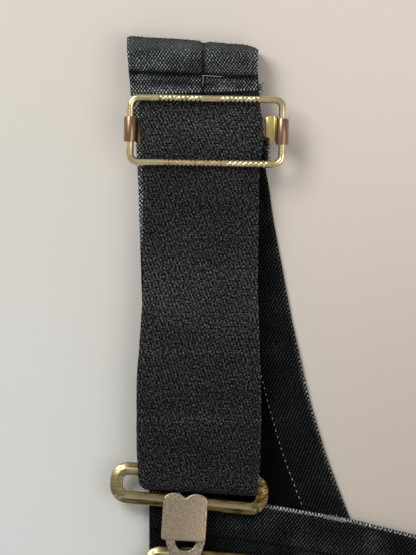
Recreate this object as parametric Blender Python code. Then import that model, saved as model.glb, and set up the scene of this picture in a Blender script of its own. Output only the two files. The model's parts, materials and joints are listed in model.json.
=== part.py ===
"""Shoulder strap of bib overalls, laid flat with its front side up.

Metres, +Z up. The strap runs along Y, with the shoulder fold at +Y. The origin is on the
flat underside of the back panel, which rests on Z = 0.
"""

from math import cos, pi, radians, sin

import bmesh
import bpy

NAME = "overall_shoulder_strap"

# Cloth and gaps
GAP = 0.0003
CANVAS = 0.0008
HEM_CANVAS = 0.0007
ELASTIC = 0.0012
THREAD = 0.0002

# Levels of the layers, from the table up (undersides unless said otherwise)
BACK_HEM_Z = CANVAS + GAP
BACK_THREAD_Z = BACK_HEM_Z + HEM_CANVAS + GAP
BIB_Z = BACK_HEM_Z + HEM_CANVAS + GAP
BIB_HEM_Z = BIB_Z + HEM_CANVAS + GAP
BACK_LEAF_Z = 0.0030
FRONT_LEAF_Z = 0.0078
STRAP_CANVAS_Z = 0.0095
FACING_Z = 0.0068
UPPER_RING_Z = 0.0063  # middle of the ring
LOWER_RING_Z = 0.0054  # middle of the ring
CLASP_Z = 0.0082
HOOK_Z = 0.0070

# Strap canvas and its fold at the shoulder
STRAP_WIDTH = 0.0420
STRAP_X = -0.0017
STRAP_CORNERS = ((-0.0227, 0.0864), (-0.0214, 0.0734), (0.0187, 0.0748), (0.0193, 0.0864))
FOLD_Y = 0.0867
FOLD_LIFT = 0.00005

# Side edges of the elastic, top to bottom
LOOP_WIDTH = 0.0378
LOOP_X = -0.0004
ELASTIC_LEFT = ((-0.0186, 0.0850), (-0.0187, 0.0660), (-0.0171, 0.0500), (-0.0174, 0.0080),
                (-0.0194, -0.0180), (-0.0193, -0.04345))
ELASTIC_RIGHT = ((0.0190, 0.0850), (0.0196, 0.0640), (0.0192, 0.0500), (0.0190, 0.0100),
                 (0.0202, -0.0250), (0.0193, -0.04655))
BACK_LEAF_TOP = 0.0500
LOOP_TILT = radians(-4.6)
LOOP_Y = -0.0453
LOOP_STRAIGHT = 0.0059

# Cut end of the elastic: its width, and where it is sewn, stitched and cut below the slide bar
END_WIDTH = 0.0372
END_X = 0.0010
END_SEWN = 0.0088
END_ROW = 0.0125
END_CUT = 0.0150
STITCH_INSET = 0.0011

# Back panel: its side edges, top to bottom
PANEL_TOP = 0.0864
PANEL_BOTTOM = -0.0980
PANEL_LEFT = ((-0.0226, PANEL_TOP), (-0.0205, 0.0710), (-0.0186, 0.0500), (-0.0176, 0.0010),
              (-0.0164, -0.0400), (-0.0150, -0.0600), (-0.0150, PANEL_BOTTOM))
PANEL_RIGHT = ((0.0193, PANEL_TOP), (0.0200, 0.0600), (0.0222, 0.0458), (0.0243, 0.0310),
               (0.0299, 0.0010), (0.0353, -0.0234), (0.0406, -0.0419), (0.0484, -0.0626),
               (0.0561, -0.0800), (0.0650, PANEL_BOTTOM))
HEM_WIDTH = 0.0131
LEFT_HEM_WIDTH = 0.0080
BACK_THREAD_END = -0.0535

# Bib panel
BIB_LEFT = -0.0157
BIB_RIGHT = 0.0806
BIB_TOP = ((BIB_LEFT, -0.0540), (-0.0040, -0.0556), (0.0216, -0.0586), (0.0474, -0.0630),
           (BIB_RIGHT, -0.0712))
BIB_HEM = 0.0118
BIB_SIDE_HEM = 0.0060

# Adjuster: a wire frame, and the slide bar between its sides
WIRE = 0.0024
FRAME_WIDTH = 0.0510
FRAME_HEIGHT = 0.0224
FRAME_CORNER = 0.0038
FRAME_CENTRE = (0.00265, 0.0614)
FRAME_TILT = radians(-1.0)
FRAME_Z = FRONT_LEAF_Z + ELASTIC + GAP + WIRE / 2
SLEEVE_LENGTH = 0.0090
SLEEVE_WALL = 0.0006
BAR_Y = 0.0611
BAR_Z = BACK_LEAF_Z + ELASTIC + GAP
BAR_THICKNESS = 0.0010
BAR_DEPTH = 0.0080

# Oval rings, the clasp and the hook
RING_TILT = radians(-5.5)
RING_LENGTH = 0.0510
RING_DEPTH = 0.0133
RING_BAR = 0.00415
RING_END = 0.0034
RING_THICKNESS = 0.0019
RING_BEVEL = 0.0006
RING_CORNER = 0.0060
RING_SLOT_CORNER = 0.0014
RING_REACH = (RING_DEPTH - RING_BAR) / 2  # from the ring's middle to a bar's middle
UPPER_RING = (-0.0028, -0.0531)
LOWER_RING = (0.0075, -0.0802)
CLASP_X = -0.0040
CLASP_WIDTH = 0.0143
CLASP_TOP = 0.0032  # above the bar that it hangs on
CLASP_BOTTOM = -0.0121
CLASP_TILT = radians(-3.5)
CLASP_THICKNESS = 0.0012
CLASP_LOBE = 0.0013
CURL_WIDTH = 0.0080
CURL_THICKNESS = 0.0008
HOOK_WIDTH = 0.0128
HOOK_END_WIDTH = 0.0092
HOOK_WINDOW = 0.0064
HOOK_WINDOW_Y = 0.0051
HOOK_THICKNESS = 0.0009
HOOK_RETURN = 0.0007
CHAPE_WIDTH = 0.0200
CHAPE_END = -0.0112
CHAPE_SEWN = -0.0058
CHAPE_ROW = -0.0082

collection = bpy.data.collections.new(NAME)
cutters = bpy.data.collections.new(NAME + "_cutters")


def material(name, colour, roughness, metallic=0.0):
    made = bpy.data.materials.new(name)
    made.use_nodes = True
    shader = made.node_tree.nodes["Principled BSDF"]
    shader.inputs["Base Color"].default_value = (*colour, 1.0)
    shader.inputs["Roughness"].default_value = roughness
    shader.inputs["Metallic"].default_value = metallic
    return made


def black_canvas():
    return material("black_canvas", (0.030, 0.031, 0.034), 0.92)


def black_elastic():
    return material("black_elastic", (0.045, 0.044, 0.048), 0.85)


def pale_thread():
    return material("pale_thread", (0.55, 0.54, 0.50), 0.8)


def bright_brass():
    return material("bright_brass", (0.78, 0.66, 0.42), 0.25, 1.0)


def copper_brass():
    return material("copper_brass", (0.72, 0.50, 0.32), 0.35, 1.0)


def antique_brass():
    return material("antique_brass", (0.50, 0.43, 0.32), 0.38, 1.0)


def worn_nickel():
    return material("worn_nickel", (0.62, 0.58, 0.54), 0.36, 1.0)


# ---------------------------------------------------------------- shapes


def arc(centre, radius, start, end, steps=10):
    """Points of a round stretch; radius is one number, or one along each axis."""
    rx, ry = radius if isinstance(radius, tuple) else (radius, radius)
    angles = [radians(start + (end - start) * i / steps) for i in range(steps + 1)]
    return [(centre[0] + rx * cos(a), centre[1] + ry * sin(a)) for a in angles]


def moved(points, dx, dy=0.0):
    return [(x + dx, y + dy) for x, y in points]


def band(path, thickness):
    """Closed outline of a strip of even thickness along a path."""
    left = []
    right = []
    for i, (x, y) in enumerate(path):
        x0, y0 = path[max(i - 1, 0)]
        x1, y1 = path[min(i + 1, len(path) - 1)]
        length = ((x1 - x0) ** 2 + (y1 - y0) ** 2) ** 0.5
        nx = (y0 - y1) / length * thickness / 2
        ny = (x1 - x0) / length * thickness / 2
        left.append((x + nx, y + ny))
        right.append((x - nx, y - ny))
    return left + right[::-1]


def stadium(length, depth, corner):
    """Rounded rectangle about the origin, anticlockwise."""
    x = length / 2 - corner
    y = depth / 2 - corner
    return (arc((x, -y), corner, -90, 0, 8) + arc((x, y), corner, 0, 90, 8)
            + arc((-x, y), corner, 90, 180, 8) + arc((-x, -y), corner, 180, 270, 8))


def flat_solid(name, outlines, thickness, finish, place, turn=(0, 0, 0), bevel=0.0):
    """Flat outline, with holes, given a thickness about its own plane."""
    curve = bpy.data.curves.new(name, "CURVE")
    curve.dimensions = "2D"
    curve.fill_mode = "BOTH"
    curve.extrude = thickness / 2 - bevel
    curve.bevel_depth = bevel
    curve.bevel_resolution = 0
    for outline in outlines:
        spline = curve.splines.new("POLY")
        spline.points.add(len(outline) - 1)
        for point, (x, y) in zip(spline.points, outline):
            point.co = (x, y, 0, 1)
        spline.use_cyclic_u = True
    curve.materials.append(finish)
    made = bpy.data.objects.new(name, curve)
    made.location = place
    made.rotation_euler = turn
    collection.objects.link(made)
    return made


def sheet(name, outline, underside, thickness, finish):
    """Flat cloth whose outline is in the world's X and Y."""
    return flat_solid(name, [outline], thickness, finish, (0, 0, underside + thickness / 2))


def bent_strip(name, path, thickness, width, finish, place, tilt=0.0):
    """Strip bent in the plane of Y and Z, as wide as given across it."""
    turn = (pi / 2, 0, pi / 2 + tilt)
    return flat_solid(name, [band(path, thickness)], width, finish, place, turn)


def wire(name, points, radius, finish, cyclic=False, resolution=2):
    curve = bpy.data.curves.new(name, "CURVE")
    curve.dimensions = "3D"
    curve.bevel_depth = radius
    curve.bevel_resolution = resolution
    curve.use_fill_caps = not cyclic
    spline = curve.splines.new("POLY")
    spline.points.add(len(points) - 1)
    for point, place in zip(spline.points, points):
        point.co = (*place, 1)
    spline.use_cyclic_u = cyclic
    curve.materials.append(finish)
    made = bpy.data.objects.new(name, curve)
    collection.objects.link(made)
    return made


def cylinder(name, radius, length, place, finish, home):
    """Round bar along Y."""
    mesh = bpy.data.meshes.new(name)
    form = bmesh.new()
    bmesh.ops.create_cone(form, cap_ends=True, segments=24, radius1=radius, radius2=radius,
                          depth=length)
    form.to_mesh(mesh)
    form.free()
    mesh.materials.append(finish)
    made = bpy.data.objects.new(name, mesh)
    made.location = place
    made.rotation_euler = (pi / 2, 0, FRAME_TILT)
    home.objects.link(made)
    return made


def as_mesh(source):
    """The same object as a welded mesh, so that it takes a Boolean."""
    bpy.context.view_layer.update()
    evaluated = source.evaluated_get(bpy.context.evaluated_depsgraph_get())
    mesh = bpy.data.meshes.new_from_object(evaluated)
    form = bmesh.new()
    form.from_mesh(mesh)
    bmesh.ops.remove_doubles(form, verts=form.verts, dist=0.000001)
    bmesh.ops.recalc_face_normals(form, faces=form.faces)
    form.to_mesh(mesh)
    form.free()
    name = source.name
    place = source.matrix_world.copy()
    bpy.data.objects.remove(source)
    made = bpy.data.objects.new(name, mesh)
    made.matrix_world = place
    collection.objects.link(made)
    return made


def to_cutters(tool):
    collection.objects.unlink(tool)
    cutters.objects.link(tool)
    hide(tool)


def hide(tool):
    tool.hide_render = True
    tool.display_type = "WIRE"


def combine(target, tool, operation):
    change = target.modifiers.new(tool.name, "BOOLEAN")
    change.operation = operation
    change.solver = "EXACT"
    change.object = tool


def round_shading(piece):
    piece.data.shade_smooth()
    piece.data.set_sharp_from_angle(angle=radians(40))


# ---------------------------------------------------------------- back panel


def add_back_panel(finish):
    outline = list(PANEL_LEFT) + list(PANEL_RIGHT)[::-1]
    sheet("back_panel", outline, 0.0, CANVAS, finish)


def add_back_hems(finish, thread):
    """Turned hems on both edges of the back panel, and the row of stitches on the right one."""
    edge = PANEL_RIGHT[2:]
    sheet("back_hem_right", list(edge) + moved(edge, -HEM_WIDTH)[::-1],
          BACK_HEM_Z, HEM_CANVAS, finish)
    left_edge = ((-0.0184, PANEL_RIGHT[2][1]),) + PANEL_LEFT[3:]
    sheet("back_hem_left", list(left_edge) + moved(left_edge, LEFT_HEM_WIDTH)[::-1],
          BACK_HEM_Z, HEM_CANVAS, finish)
    inset = 0.0009
    row = [(x - HEM_WIDTH + inset, y) for x, y in edge if y > BACK_THREAD_END]
    level = BACK_THREAD_Z + THREAD
    wire("back_hem_thread", [(x, y, level) for x, y in row], THREAD, thread)


def add_shoulder_fold(finish):
    """Canvas turned over at the shoulder, from the back panel up to the front leaf."""
    low = FOLD_LIFT + CANVAS / 2
    high = STRAP_CANVAS_Z + CANVAS / 2
    middle = (low + high) / 2
    path = arc((0.0001, middle), (high - low) / 2, -90, 90, 14)
    path = [(0.0, low)] + path[1:-1] + [(0.0, high)]
    bent_strip("shoulder_fold", path, CANVAS, STRAP_WIDTH, finish, (STRAP_X, FOLD_Y, 0))


# ---------------------------------------------------------------- front of the strap


def add_strap_canvas(finish, thread):
    """Front leaf of canvas, the facing behind the elastic's end, and the stitches of its hem."""
    sheet("strap_canvas", list(STRAP_CORNERS), STRAP_CANVAS_Z, CANVAS, finish)
    top = PANEL_TOP - 0.0024
    facing = [(-0.0206, top), STRAP_CORNERS[1], STRAP_CORNERS[2], (0.0180, top)]
    sheet("strap_facing", facing, FACING_Z, HEM_CANVAS, finish)
    level = STRAP_CANVAS_Z + CANVAS + GAP + THREAD
    inset = 0.0014
    ends = [(x, y + inset, level) for x, y in STRAP_CORNERS[1:3]]
    ends[0] = (ends[0][0] + inset, *ends[0][1:])
    ends[1] = (ends[1][0] - inset, *ends[1][1:])
    wire("strap_hem_thread", ends, THREAD, thread)


def add_elastic_leaves(finish):
    front = list(ELASTIC_LEFT) + list(ELASTIC_RIGHT)[::-1]
    sheet("elastic_front_leaf", front, FRONT_LEAF_Z, ELASTIC, finish)
    left = [(-0.0168, BACK_LEAF_TOP)] + list(ELASTIC_LEFT[3:])
    right = [(0.0198, BACK_LEAF_TOP)] + list(ELASTIC_RIGHT[3:])
    sheet("elastic_back_leaf", left + right[::-1], BACK_LEAF_Z, ELASTIC, finish)


def add_elastic_loop(finish):
    """The turn of the elastic round the upper bar of the ring."""
    low = BACK_LEAF_Z + ELASTIC / 2
    high = FRONT_LEAF_Z + ELASTIC / 2
    middle = (low + high) / 2
    turn = arc((-LOOP_STRAIGHT, middle), (high - low) / 2, 90, 270, 14)
    path = [(0.0, high)] + turn + [(0.0, low)]
    bent_strip("elastic_ring_loop", path, ELASTIC, LOOP_WIDTH, finish, (LOOP_X, LOOP_Y, 0), LOOP_TILT)


def add_elastic_end(finish, thread):
    """End of the elastic, turned round the slide bar and sewn down below it."""
    edge = BAR_DEPTH / 2 + 0.0006
    slope = 0.0020
    low = BACK_LEAF_Z + ELASTIC / 2
    high = BAR_Z + BAR_THICKNESS + GAP + ELASTIC / 2
    middle = (low + high) / 2
    sewn = low + ELASTIC + GAP
    turn = arc((edge, middle), (high - low) / 2, -90, 90, 10)
    path = [(BACK_LEAF_TOP + GAP - BAR_Y, low)] + turn
    path += [(-edge, high), (-edge - slope, (high + sewn) / 2), (-END_SEWN, sewn),
             (-END_CUT, sewn)]
    bent_strip("elastic_end_loop", path, ELASTIC, END_WIDTH, finish, (END_X, BAR_Y, 0))
    level = sewn + ELASTIC / 2 + GAP + THREAD
    row = BAR_Y - END_ROW
    half = END_WIDTH / 2 - STITCH_INSET
    wire("elastic_end_thread", [(END_X - half, row, level), (END_X + half, row, level)],
         THREAD, thread)


# ---------------------------------------------------------------- adjuster


def frame_point(x, y):
    """World place of a point given from the middle of the wire frame."""
    turned_x = x * cos(FRAME_TILT) - y * sin(FRAME_TILT)
    turned_y = x * sin(FRAME_TILT) + y * cos(FRAME_TILT)
    return FRAME_CENTRE[0] + turned_x, FRAME_CENTRE[1] + turned_y


def add_adjuster_frame(finish):
    outline = stadium(FRAME_WIDTH - WIRE, FRAME_HEIGHT - WIRE, FRAME_CORNER - WIRE / 2)
    points = [(*frame_point(x, y), FRAME_Z) for x, y in outline]
    wire("adjuster_frame", points, WIRE / 2, finish, cyclic=True)


def add_slide_bar(finish):
    """Flat bar under the elastic, with both ends turned up and rolled round the side wires."""
    reach = (FRAME_WIDTH - WIRE) / 2
    half = BAR_THICKNESS / 2
    inside = reach - half
    top = FRAME_Z - WIRE / 2 - GAP - SLEEVE_WALL / 2
    bottom = BAR_Z
    outline = [(-reach - half, top), (-reach - half, bottom + half), (-reach + half, bottom),
               (inside, bottom), (reach + half, bottom + half), (reach + half, top),
               (inside, top), (inside, bottom + BAR_THICKNESS), (-inside, bottom + BAR_THICKNESS),
               (-inside, top)]
    shift = BAR_Y - FRAME_CENTRE[1]
    x, y = frame_point(0, shift)
    plate = flat_solid("slide_bar", [outline], BAR_DEPTH, finish, (x, y, 0),
                       (pi / 2, 0, FRAME_TILT))
    plate = as_mesh(plate)
    bore = WIRE / 2 + GAP
    for side in (-1, 1):
        place = (*frame_point(side * reach, shift), FRAME_Z)
        word = "left" if side < 0 else "right"
        sleeve = cylinder("sleeve_" + word, bore + SLEEVE_WALL, SLEEVE_LENGTH, place, finish,
                          cutters)
        hole = cylinder("sleeve_bore_" + word, bore, 2 * SLEEVE_LENGTH, place, finish, cutters)
        hide(sleeve)
        hide(hole)
        combine(plate, sleeve, "UNION")
        combine(plate, hole, "DIFFERENCE")
    round_shading(plate)


# ---------------------------------------------------------------- rings, clasp and hook


def along_tilt(origin, x, y):
    """World place of a point given in a frame turned by the rings' tilt."""
    return (origin[0] + x * cos(RING_TILT) - y * sin(RING_TILT),
            origin[1] + x * sin(RING_TILT) + y * cos(RING_TILT))


def bar_place(ring, side, x):
    """Middle of a ring's upper (side 1) or lower (side -1) bar, where it crosses world x."""
    bar = along_tilt(ring, 0, side * RING_REACH)
    return x, bar[1] + (x - bar[0]) * sin(RING_TILT) / cos(RING_TILT)


def add_ring(name, centre, level, finish):
    inset = RING_BEVEL
    outer = stadium(RING_LENGTH - 2 * inset, RING_DEPTH - 2 * inset, RING_CORNER - inset)
    slot_length = RING_LENGTH - 2 * RING_END + 2 * inset
    slot_depth = RING_DEPTH - 2 * RING_BAR + 2 * inset
    slot = stadium(slot_length, slot_depth, RING_SLOT_CORNER + inset)
    ring = flat_solid(name, [outer, slot], RING_THICKNESS, finish, (*centre, level),
                      (0, 0, RING_TILT), RING_BEVEL)
    round_shading(as_mesh(ring))


def clasp_outline():
    """Plate with straight sides and two low lobes at the top, about the bar that it hangs on."""
    half = CLASP_WIDTH / 2
    lobe = (half / 2, CLASP_LOBE + 0.0006)
    base = CLASP_TOP - lobe[1]
    corner = 0.0008
    right = arc((half / 2, base), lobe, 0, 160, 10)
    left = arc((-half / 2, base), lobe, 20, 180, 10)
    foot = arc((-half + corner, CLASP_BOTTOM + corner), corner, 180, 270, 4)
    foot += arc((half - corner, CLASP_BOTTOM + corner), corner, 270, 360, 4)
    return right + left + foot


def add_clasp(finish):
    """Front plate, and the strip behind it that closes round the ring's lower bar."""
    place = bar_place(UPPER_RING, -1, CLASP_X)
    level = CLASP_Z + CLASP_THICKNESS / 2
    plate = flat_solid("clasp_plate", [clasp_outline()], CLASP_THICKNESS, finish, (*place, level),
                       (0, 0, CLASP_TILT))
    low = BIB_HEM_Z + HEM_CANVAS + GAP + CURL_THICKNESS / 2
    ahead = RING_BAR / 2 + GAP + CURL_THICKNESS / 2
    behind = -RING_BAR / 2 - 0.0010
    bend = 0.0009
    path = [(ahead, level)]
    path += arc((ahead - bend, low + bend), bend, 0, -90, 5)
    path += arc((behind + bend, low + bend), bend, -90, -180, 5)
    path += [(behind, level)]
    curl = bent_strip("clasp_curl", path, CURL_THICKNESS, CURL_WIDTH, finish, (*place, 0), RING_TILT)
    plate = as_mesh(plate)
    curl = as_mesh(curl)
    to_cutters(curl)
    combine(plate, curl, "UNION")


def add_hook(finish):
    """Tapered plate with a window, below the clasp, and its return behind the lower ring."""
    place = bar_place(LOWER_RING, 1, CLASP_X)
    top = 0.0100
    bottom = -0.0030
    half = HOOK_WIDTH / 2
    end = HOOK_END_WIDTH / 2
    shoulder = 0.0050
    outline = [(-half, top), (-half, shoulder), (-end, 0.0), (-end, bottom), (end, bottom),
               (end, 0.0), (half, shoulder), (half, top)]
    window = moved(stadium(HOOK_WINDOW, HOOK_WINDOW, HOOK_WINDOW / 2 - 0.0004), 0, HOOK_WINDOW_Y)
    level = HOOK_Z + HOOK_THICKNESS / 2
    plate = flat_solid("clasp_hook", [outline, window], HOOK_THICKNESS, finish, (*place, level))
    low = BIB_Z + HEM_CANVAS + GAP + HOOK_RETURN / 2
    middle = (level + low) / 2
    path = [(bottom + 0.0010, level)]
    path += arc((bottom, middle), (level - low) / 2, 90, 270, 12)
    path += [(0.0026, low)]
    back = bent_strip("hook_return", path, HOOK_RETURN, HOOK_END_WIDTH - 0.0006, finish,
                      (*place, 0))
    plate = as_mesh(plate)
    back = as_mesh(back)
    to_cutters(back)
    combine(plate, back, "UNION")


# ---------------------------------------------------------------- bib


def add_bib(finish, thread):
    """Corner of the bib panel, its turned hems and the stitches of the top one."""
    bottom = [(BIB_RIGHT, PANEL_BOTTOM), (BIB_LEFT, PANEL_BOTTOM)]
    sheet("bib_panel", list(BIB_TOP) + bottom, BIB_Z, HEM_CANVAS, finish)
    sheet("bib_hem_top", list(BIB_TOP) + moved(BIB_TOP, 0, -BIB_HEM)[::-1],
          BIB_HEM_Z, HEM_CANVAS, finish)
    side_top = BIB_TOP[0][1] - BIB_HEM - 0.0014
    side = [(BIB_LEFT, side_top), (BIB_LEFT + BIB_SIDE_HEM, side_top),
            (BIB_LEFT + BIB_SIDE_HEM, PANEL_BOTTOM), (BIB_LEFT, PANEL_BOTTOM)]
    sheet("bib_hem_side", side, BIB_HEM_Z, HEM_CANVAS, finish)
    level = BIB_HEM_Z + HEM_CANVAS + GAP + THREAD
    inset = 0.0010
    row = [(x, y - BIB_HEM + inset, level) for x, y in BIB_TOP]
    wire("bib_hem_thread", row, THREAD, thread)


def add_chape(finish, thread):
    """Loop of canvas that holds the lower ring to the bib."""
    place = bar_place(LOWER_RING, -1, LOWER_RING[0])
    low = BIB_Z + HEM_CANVAS + GAP + HEM_CANVAS / 2
    high = 2 * LOWER_RING_Z - low
    sewn = low + HEM_CANVAS + GAP
    round_at = 0.0012
    leave = -0.0026
    turn = arc((round_at, LOWER_RING_Z), (high - low) / 2, -90, 90, 12)
    path = [(CHAPE_END, low)] + turn
    path += [(leave, high), ((leave + CHAPE_SEWN) / 2, (high + sewn) / 2), (CHAPE_SEWN, sewn),
             (CHAPE_END, sewn)]
    bent_strip("ring_chape", path, HEM_CANVAS, CHAPE_WIDTH, finish, (*place, 0), RING_TILT)
    level = sewn + HEM_CANVAS / 2 + GAP + THREAD
    half = CHAPE_WIDTH / 2 - STITCH_INSET
    row = [along_tilt(place, x, CHAPE_ROW) for x in (-half, half)]
    wire("chape_thread", [(*point, level) for point in row], THREAD, thread)


def clear_scene():
    for old in list(bpy.data.objects):
        bpy.data.objects.remove(old)


def main():
    clear_scene()
    bpy.context.scene.collection.children.link(collection)
    bpy.context.scene.collection.children.link(cutters)
    canvas = black_canvas()
    elastic = black_elastic()
    thread = pale_thread()
    antique = antique_brass()
    add_back_panel(canvas)
    add_back_hems(canvas, thread)
    add_shoulder_fold(canvas)
    add_strap_canvas(canvas, thread)
    add_elastic_leaves(elastic)
    add_elastic_loop(elastic)
    add_elastic_end(elastic, thread)
    add_adjuster_frame(bright_brass())
    add_slide_bar(copper_brass())
    add_ring("upper_ring", UPPER_RING, UPPER_RING_Z, antique)
    add_ring("lower_ring", LOWER_RING, LOWER_RING_Z, antique)
    nickel = worn_nickel()
    add_clasp(nickel)
    add_hook(nickel)
    add_bib(canvas, thread)
    add_chape(canvas, thread)


main()
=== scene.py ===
"""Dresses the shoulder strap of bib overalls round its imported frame.

Metres throughout, in the frame's own axes: X across the strap, Y along it towards the
shoulder fold, Z up out of its front face.
"""

import json
import logging
import random
from dataclasses import dataclass
from enum import Enum
from functools import lru_cache
from math import cos, exp, pi, radians, sin, tan
from typing import Any, Callable, Sequence

import bmesh
import bpy
from mathutils import Matrix, Vector, noise


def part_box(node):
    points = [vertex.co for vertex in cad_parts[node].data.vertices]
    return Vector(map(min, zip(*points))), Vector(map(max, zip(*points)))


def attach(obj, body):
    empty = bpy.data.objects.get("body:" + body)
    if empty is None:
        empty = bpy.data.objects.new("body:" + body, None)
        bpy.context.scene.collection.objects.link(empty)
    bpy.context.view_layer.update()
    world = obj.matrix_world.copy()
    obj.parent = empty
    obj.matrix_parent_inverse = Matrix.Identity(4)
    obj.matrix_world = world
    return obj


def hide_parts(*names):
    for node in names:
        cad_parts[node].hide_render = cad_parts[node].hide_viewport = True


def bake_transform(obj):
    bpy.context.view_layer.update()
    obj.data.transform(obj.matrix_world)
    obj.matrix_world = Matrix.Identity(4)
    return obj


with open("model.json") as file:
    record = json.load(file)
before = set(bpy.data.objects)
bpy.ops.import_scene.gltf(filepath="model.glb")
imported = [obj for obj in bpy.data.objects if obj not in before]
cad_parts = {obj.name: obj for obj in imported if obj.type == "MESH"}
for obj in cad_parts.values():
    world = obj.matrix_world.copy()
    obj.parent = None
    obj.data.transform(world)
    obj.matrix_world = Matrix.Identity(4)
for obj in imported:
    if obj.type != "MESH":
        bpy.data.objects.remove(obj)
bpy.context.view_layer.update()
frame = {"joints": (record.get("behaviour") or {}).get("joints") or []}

LOG = logging.getLogger("overall_strap")

Point = tuple[float, float]
Colour = tuple[float, float, float]
Look = Callable[[Vector, float, float], tuple[float, float]]

UP = Vector((0.0, 0.0, 1.0))
ALONG = Vector((0.0, 1.0, 0.0))
MILLIMETRES = 1000.0
RING_TILT = radians(-5.5)
LOOP_TILT = radians(-3.4)
FRAME_TILT = radians(-1.0)
CLASP_TILT = radians(-3.5)


class Hold(Enum):
    """How a sheet of cloth is held."""

    LAID = "laid"
    FOLDED = "folded"


class Slot(Enum):
    """Material slots of the record."""

    CANVAS = "canvas"
    ELASTIC = "elastic"
    THREAD = "thread"
    BRIGHT_BRASS = "bright_brass"
    COPPER_BRASS = "copper_brass"
    ANTIQUE_BRASS = "antique_brass"
    WORN_NICKEL = "worn_nickel"


# ---------------------------------------------------------------- shader boards


class Socket:
    """One output of a node, which adds Math nodes as it is reckoned with."""

    def __init__(self, board: "Board", port: bpy.types.NodeSocket) -> None:
        """Keeps the board and the output."""
        self.board = board
        self.port = port

    def _math(self, operation: str, *terms: Any) -> "Socket":
        """Adds one Math node for the terms."""
        return self.board.node("ShaderNodeMath", {"operation": operation}, dict(enumerate(terms)))

    def __add__(self, other: Any) -> "Socket":
        """Sum."""
        return self._math("ADD", self, other)

    def __radd__(self, other: Any) -> "Socket":
        """Sum, with the number first."""
        return self._math("ADD", other, self)

    def __sub__(self, other: Any) -> "Socket":
        """Difference."""
        return self._math("SUBTRACT", self, other)

    def __rsub__(self, other: Any) -> "Socket":
        """Difference, with the number first."""
        return self._math("SUBTRACT", other, self)

    def __mul__(self, other: Any) -> "Socket":
        """Product."""
        return self._math("MULTIPLY", self, other)

    def __rmul__(self, other: Any) -> "Socket":
        """Product, with the number first."""
        return self._math("MULTIPLY", other, self)

    def cosine(self) -> "Socket":
        """Cosine of the value."""
        return self._math("COSINE", self)

    def step(self, low: float, high: float) -> "Socket":
        """Smooth step of the value.

        Args:
            low: value that gives 0.
            high: value that gives 1.

        Returns:
            The stepped value, from 0 to 1.
        """
        return self.board.node("ShaderNodeMapRange", {"interpolation_type": "SMOOTHSTEP"},
                               {"Value": self, "From Min": low, "From Max": high})


class Board:
    """Node board of one material."""

    def __init__(self, name: str) -> None:
        """Starts a material of that name."""
        self.material = bpy.data.materials.new(name)
        self.material.use_nodes = True
        self.tree = self.material.node_tree
        self.shader = self.tree.nodes["Principled BSDF"]

    def node(self, kind: str, settings: dict[str, Any] | None = None,
             inputs: dict[Any, Any] | None = None, output: int | str = 0) -> Socket:
        """Adds a node, sets it, and feeds it.

        Args:
            kind: the node's type.
            settings: its own settings, set first.
            inputs: a number, a colour or a socket for each of its inputs.
            output: the output that is wanted.

        Returns:
            That output.
        """
        made = self.tree.nodes.new(kind)
        for key, value in (settings or {}).items():
            setattr(made, key, value)
        for key, value in (inputs or {}).items():
            self.feed(made.inputs[key], value)
        return Socket(self, made.outputs[output])

    def feed(self, port: bpy.types.NodeSocket, value: Any) -> None:
        """Links or sets one input."""
        if isinstance(value, Socket):
            self.tree.links.new(value.port, port)
        elif isinstance(value, tuple) and len(value) == 3 and port.type == "RGBA":
            port.default_value = (*value, 1.0)
        else:
            port.default_value = value

    def mix(self, factor: Any, low: Any, high: Any) -> Socket:
        """Mixes two colours."""
        return self.node("ShaderNodeMix", {"data_type": "RGBA"}, {0: factor, 6: low, 7: high}, 2)

    def clouds(self, place: Socket, scale: float, detail: float = 2.0) -> Socket:
        """Noise of a given scale, per unit of the place."""
        return self.node("ShaderNodeTexNoise", None,
                         {"Vector": place, "Scale": scale, "Detail": detail})

    def scaled(self, place: Socket, by: tuple[float, float, float]) -> Socket:
        """A place stretched along each axis."""
        return self.node("ShaderNodeVectorMath", {"operation": "MULTIPLY"}, {0: place, 1: by})

    def attribute(self, name: str) -> Socket:
        """A number painted on the mesh."""
        return self.node("ShaderNodeAttribute", {"attribute_name": name}, None, "Fac")

    def solid(self) -> Socket:
        """Place in the object's own axes."""
        return self.node("ShaderNodeTexCoord", None, None, "Object")

    def cloth(self) -> Socket:
        """Place on the cloth, in millimetres."""
        return self.node("ShaderNodeUVMap", {"uv_map": "weave"})

    def bump(self, height: Socket, depth: float, strength: float = 1.0) -> Socket:
        """Bump of a height from 0 to 1 and a real depth."""
        return self.node("ShaderNodeBump", None,
                         {"Height": height, "Distance": depth, "Strength": strength}, "Normal")

    def dress(self, **values: Any) -> bpy.types.Material:
        """Feeds the shader.

        Args:
            **values: its inputs, with _ for each space.

        Returns:
            The finished material.
        """
        for key, value in values.items():
            self.feed(self.shader.inputs[key.replace("_", " ")], value)
        return self.material


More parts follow.
